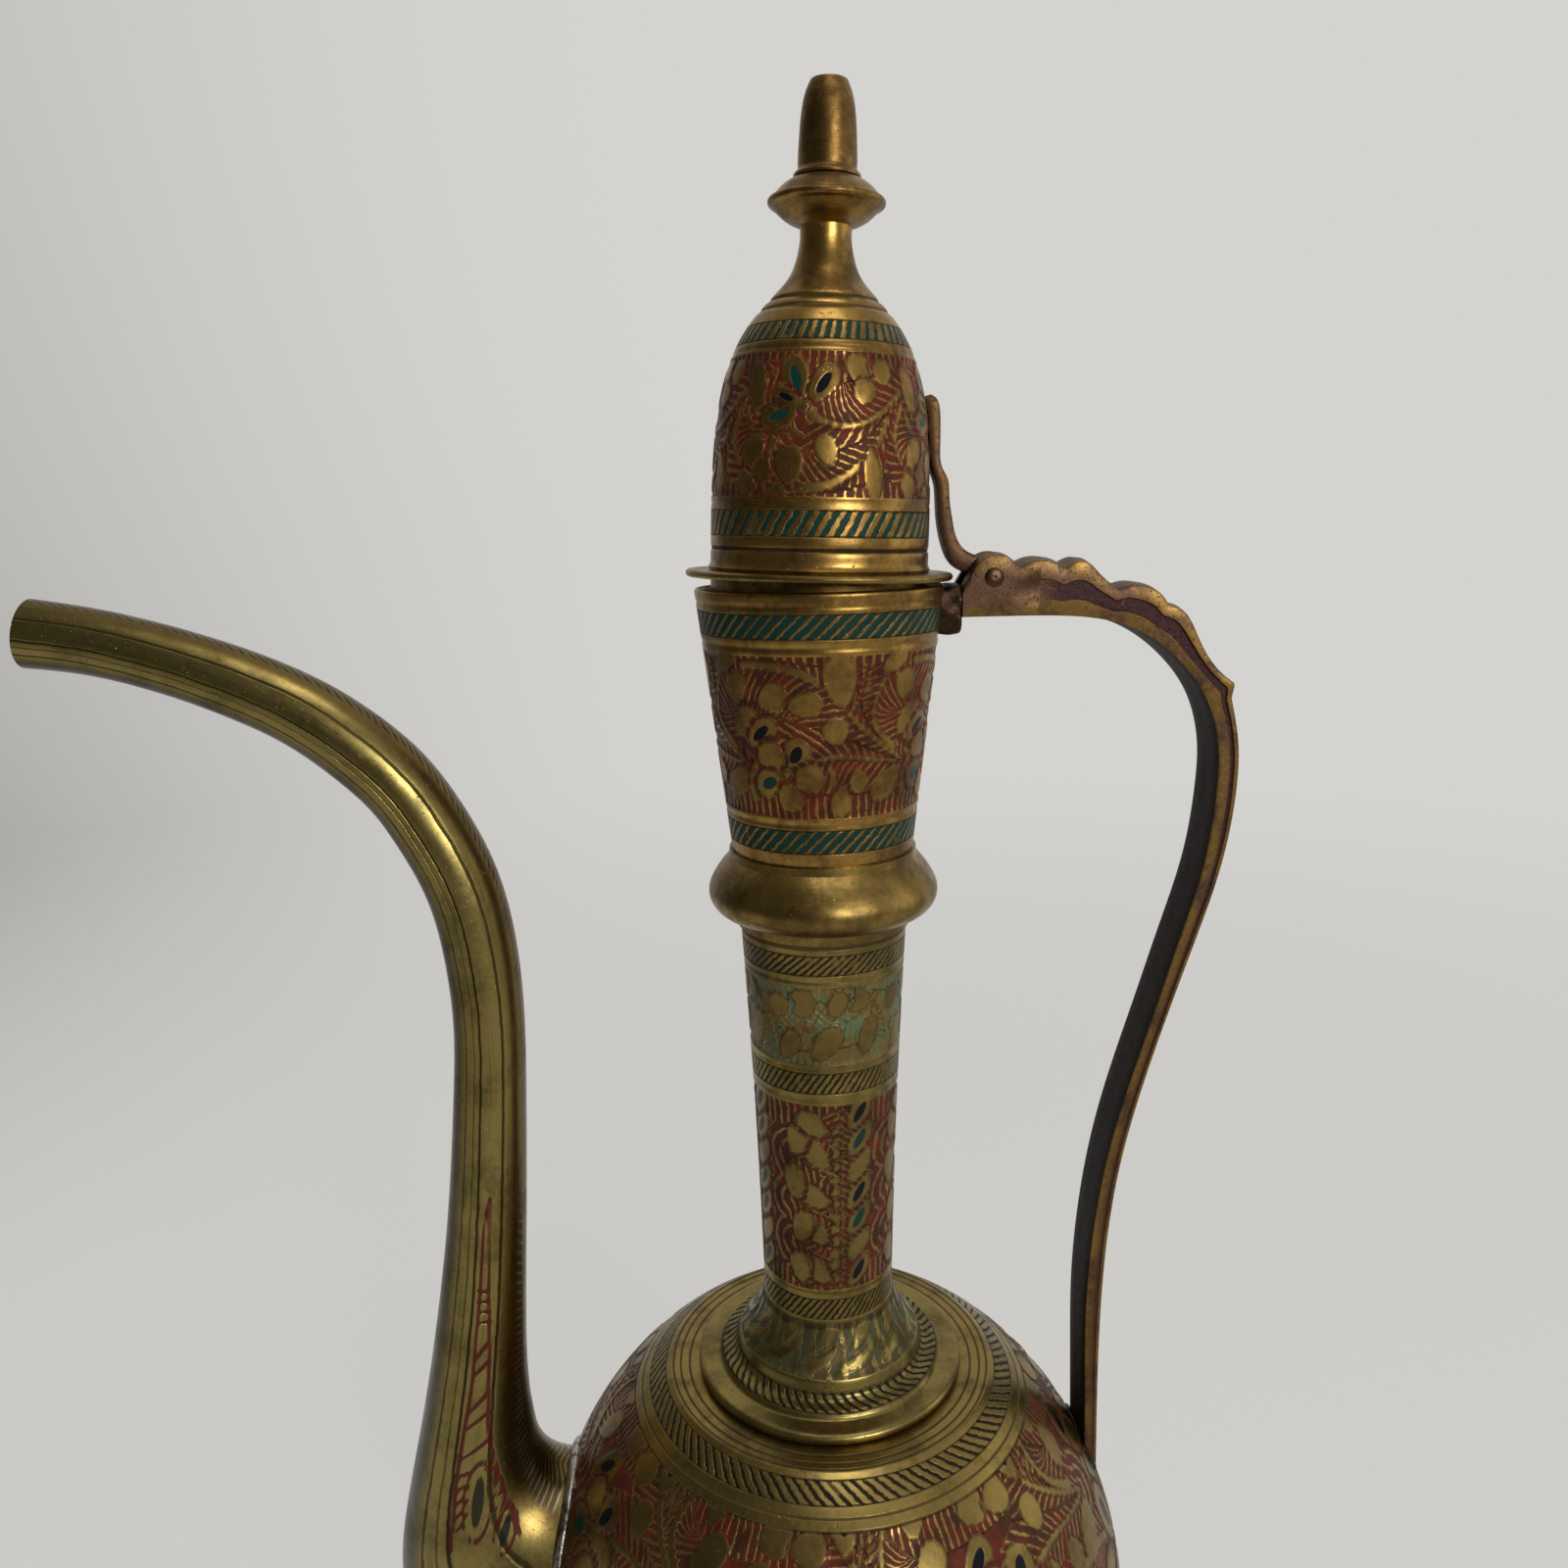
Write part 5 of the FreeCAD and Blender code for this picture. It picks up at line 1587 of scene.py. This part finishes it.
class COFFEEPOT_OT_hinge(bpy.types.Operator):
    """Make the hinge pin and the strap that carries the lid"""
    bl_idname = "coffeepot.hinge"
    bl_label = "Hinge"

    def execute(self, context):
        self.make_pin()
        self.make_strap()
        stud = frame["nodes"]["finial_stud"]
        stud.data.materials.clear()
        stud.data.materials.append(plain_brass("stud brass", 0.55))
        return {"FINISHED"}

    def make_pin(self):
        """Pin with peened heads."""
        radius = mm("pin_radius")
        half = mm("handle_width") / 2
        head = 1.9
        dome = arc_run((head, half), (head * 0.72, half + 0.24), (0.0, half + 0.34), 0.2)
        outline = joined([(0.0, half + 0.34)], dome[::-1], [(radius, half), (radius, -half)],
                         dome * np.array((1, -1)))
        piece = lathe("pot_hinge_pin", outline, turns=40)
        quarter = Matrix.Rotation(math.pi / 2, 4, "X")
        piece.data.transform(Matrix.Translation((PIN_X * MM, 0, PIN_Z * MM)) @ quarter)
        dress(piece, "pot", "hinge_pin", pin_finish(), "hinge_pin")

    def make_strap(self):
        """Thick bent strip from the dome's side, with a step in it, that rolls round the pin."""
        outer = smooth_run([(-12.7, 33.6), (-11.4, 32.2), (-10.8, 28.0), (-10.7, 24.5), (-10.3, 20.6),
                            (-9.0, 18.2), (-8.5, 14.5), (-7.7, 10.3), (-7.1, 7.9), (-5.4, 5.2),
                            (-2.8, 3.9), (0.0, 3.0)], 0.5)
        inner = smooth_run([(-14.4, 33.0), (-14.0, 32.2), (-13.3, 28.0), (-12.9, 24.0), (-12.3, 20.2),
                            (-11.3, 17.4), (-10.9, 14.5), (-10.4, 9.8), (-9.3, 5.5), (-7.2, 1.9),
                            (-3.6, 0.5), (-1.3, 1.0)], 0.5)
        shares = np.linspace(0, 1, 110)
        outer, inner = (np.column_stack([np.interp(shares, np.linspace(0, 1, len(run)), run[:, axis])
                                         for axis in (0, 1)]) for run in (outer, inner))
        turns = np.radians(np.linspace(90.0, -190.0, 40))[1:]
        ring = np.column_stack((np.cos(turns), np.sin(turns)))
        outer = np.vstack((outer, ring * 3.0)) + (PIN_X, PIN_Z)
        inner = np.vstack((inner, ring * (mm("pin_radius") + 0.1))) + (PIN_X, PIN_Z)
        tip = np.clip(np.arange(len(outer)) / 9.0, 0, 1)
        half = mm("strap_width") / 2 * np.sqrt(np.clip(1 - (1 - tip) ** 2, 0.2, 1))
        loop = mirrored([(0.0, 0.88), (0.12, 1.0), (0.88, 1.0), (1.0, 0.88), (1.04, 0.3)])
        sides = [(inner + (outer - inner) * rise, across * half) for rise, across in loop]
        piece = sheet_grid("pot_hinge_strap", swept(sides))[0]
        close_mesh(piece)
        cap_ends()
        soften(piece)
        smooth(piece, 42.0)
        dress(piece, "lid", "dark_brass", handle_brass("strap brass"), "hinge_strap")


class COFFEEPOT_OT_stage(bpy.types.Operator):
    """Make the floor, the light and the camera"""
    bl_idname = "coffeepot.stage"
    bl_label = "Floor, light and camera"

    def execute(self, context):
        self.make_floor()
        self.make_lights()
        self.make_camera()
        return {"FINISHED"}

    def make_floor(self):
        """Pale floor that runs out into the pale world, which dims away from its bright side."""
        fresh_start()
        bpy.ops.mesh.primitive_plane_add(size=60.0)
        floor = bpy.context.object
        floor.name = "stage_floor"
        finish = Finish("pale floor", specular=0.2)
        paints = colours()
        place = finish.place()
        way = finish.node("ShaderNodeVectorMath", {"operation": "NORMALIZE"}, {0: place})
        away = finish.node("ShaderNodeVectorMath", {"operation": "LENGTH"}, {0: place}, "Value")
        far = finish.step(away, 0.3, 1.4)
        glow = finish.daylight(way) * far + (1 - far) * 0.8
        tone = finish.mix(1.0 - glow, DAYLIGHT, (0.0, 0.0, 0.0))
        rays = [finish.node("ShaderNodeLightPath", out=kind)
                for kind in ("Is Camera Ray", "Is Glossy Ray", "Is Transmission Ray")]
        seen = (rays[0] + rays[1] + rays[2]).maths("MINIMUM", 1.0) * (0.8 + far * 0.2)
        material = finish.done(paints.floor, 0.7, 0.0)
        light = finish.node("ShaderNodeEmission", values={"Color": tone})
        surface = finish.node("ShaderNodeMixShader", values={0: seen, 2: light})
        finish.tree.links.new(finish.shader.outputs[0], surface.socket.node.inputs[1])
        finish.tree.links.new(surface.socket, finish.tree.nodes["Material Output"].inputs["Surface"])
        floor.data.materials.append(material)
        world = bpy.data.worlds.new("studio")
        world.use_nodes = True
        bpy.context.scene.world = world
        sky = Nodes(world.node_tree)
        background = sky.tree.nodes["Background"]
        sky.feed(background.inputs["Strength"], sky.daylight(sky.node("ShaderNodeTexCoord", out="Generated")))
        sky.feed(background.inputs["Color"], DAYLIGHT)

    def make_lights(self):
        """A soft key at the front right, a weak fill at the right and a lamp above."""
        for name, place, size, power in (("key", (0.44, -0.97, 0.58), 0.36, 7.4),
                                         ("fill", (0.95, -0.1, 0.4), 0.6, 0.8),
                                         ("top", (0.1, -0.3, 1.25), 0.4, 2.5)):
            lamp = bpy.data.lights.new(name, "AREA")
            lamp.energy, lamp.size = power, size
            holder = bpy.data.objects.new(name, lamp)
            bpy.context.scene.collection.objects.link(holder)
            holder.location = place
            aim = Vector((0, 0, 0.22)) - Vector(place)
            holder.rotation_euler = aim.to_track_quat("-Z", "Y").to_euler()

    def make_camera(self):
        """Camera at the photograph's place."""
        place = Vector((-18.4, -239.4, 325.0)) * MM
        heading, pitch, roll = math.radians(2.6), math.radians(12.3), math.radians(1.15)
        level = math.cos(pitch)
        look = Vector((math.sin(heading) * level, math.cos(heading) * level, -math.sin(pitch)))
        right = Vector((math.cos(heading), -math.sin(heading), 0))
        up = right.cross(look)
        turn = Matrix.Rotation(roll, 3, look)
        right, up = turn @ right, turn @ up
        camera = bpy.data.cameras.new("camera")
        camera.lens, camera.sensor_width = 28.125, 36.0
        camera.clip_start = 0.005
        holder = bpy.data.objects.new("camera", camera)
        bpy.context.scene.collection.objects.link(holder)
        holder.matrix_world = Matrix.Translation(place) @ Matrix((right, up, -look)).transposed().to_4x4()
        bpy.context.scene.camera = holder
        bpy.context.scene.view_settings.view_transform = "Standard"


OPERATORS = (COFFEEPOT_OT_body, COFFEEPOT_OT_neck, COFFEEPOT_OT_lid, COFFEEPOT_OT_spout, COFFEEPOT_OT_handle,
             COFFEEPOT_OT_hinge, COFFEEPOT_OT_stage)


class COFFEEPOT_PT_panel(bpy.types.Panel):
    """Coffee pot pieces and settings"""
    bl_idname = "COFFEEPOT_PT_panel"
    bl_label = "Coffee pot"
    bl_space_type = "VIEW_3D"
    bl_region_type = "UI"
    bl_category = "Coffee pot"

    def draw(self, context):
        for operator in OPERATORS:
            self.layout.operator(operator.bl_idname)
        for group in (context.scene.coffee_pot_sizes, context.scene.coffee_pot_colours):
            column = self.layout.column()
            for name in group.__annotations__:
                column.prop(group, name)


CLASSES = (PotSizes, PotColours, *OPERATORS, COFFEEPOT_PT_panel)


def register():
    """Registers the classes and the scene's settings."""
    for kind in CLASSES:
        bpy.utils.register_class(kind)
    bpy.types.Scene.coffee_pot_sizes = PointerProperty(type=PotSizes)
    bpy.types.Scene.coffee_pot_colours = PointerProperty(type=PotColours)


def unregister():
    """Takes the settings and the classes away."""
    del bpy.types.Scene.coffee_pot_colours
    del bpy.types.Scene.coffee_pot_sizes
    for kind in reversed(CLASSES):
        bpy.utils.unregister_class(kind)


def main():
    """Registers the classes, then makes the whole pot and its stage."""
    register()
    for operator in OPERATORS:
        group, name = operator.bl_idname.split(".")
        getattr(getattr(bpy.ops, group), name)()


if __name__ == "__main__":
    main()
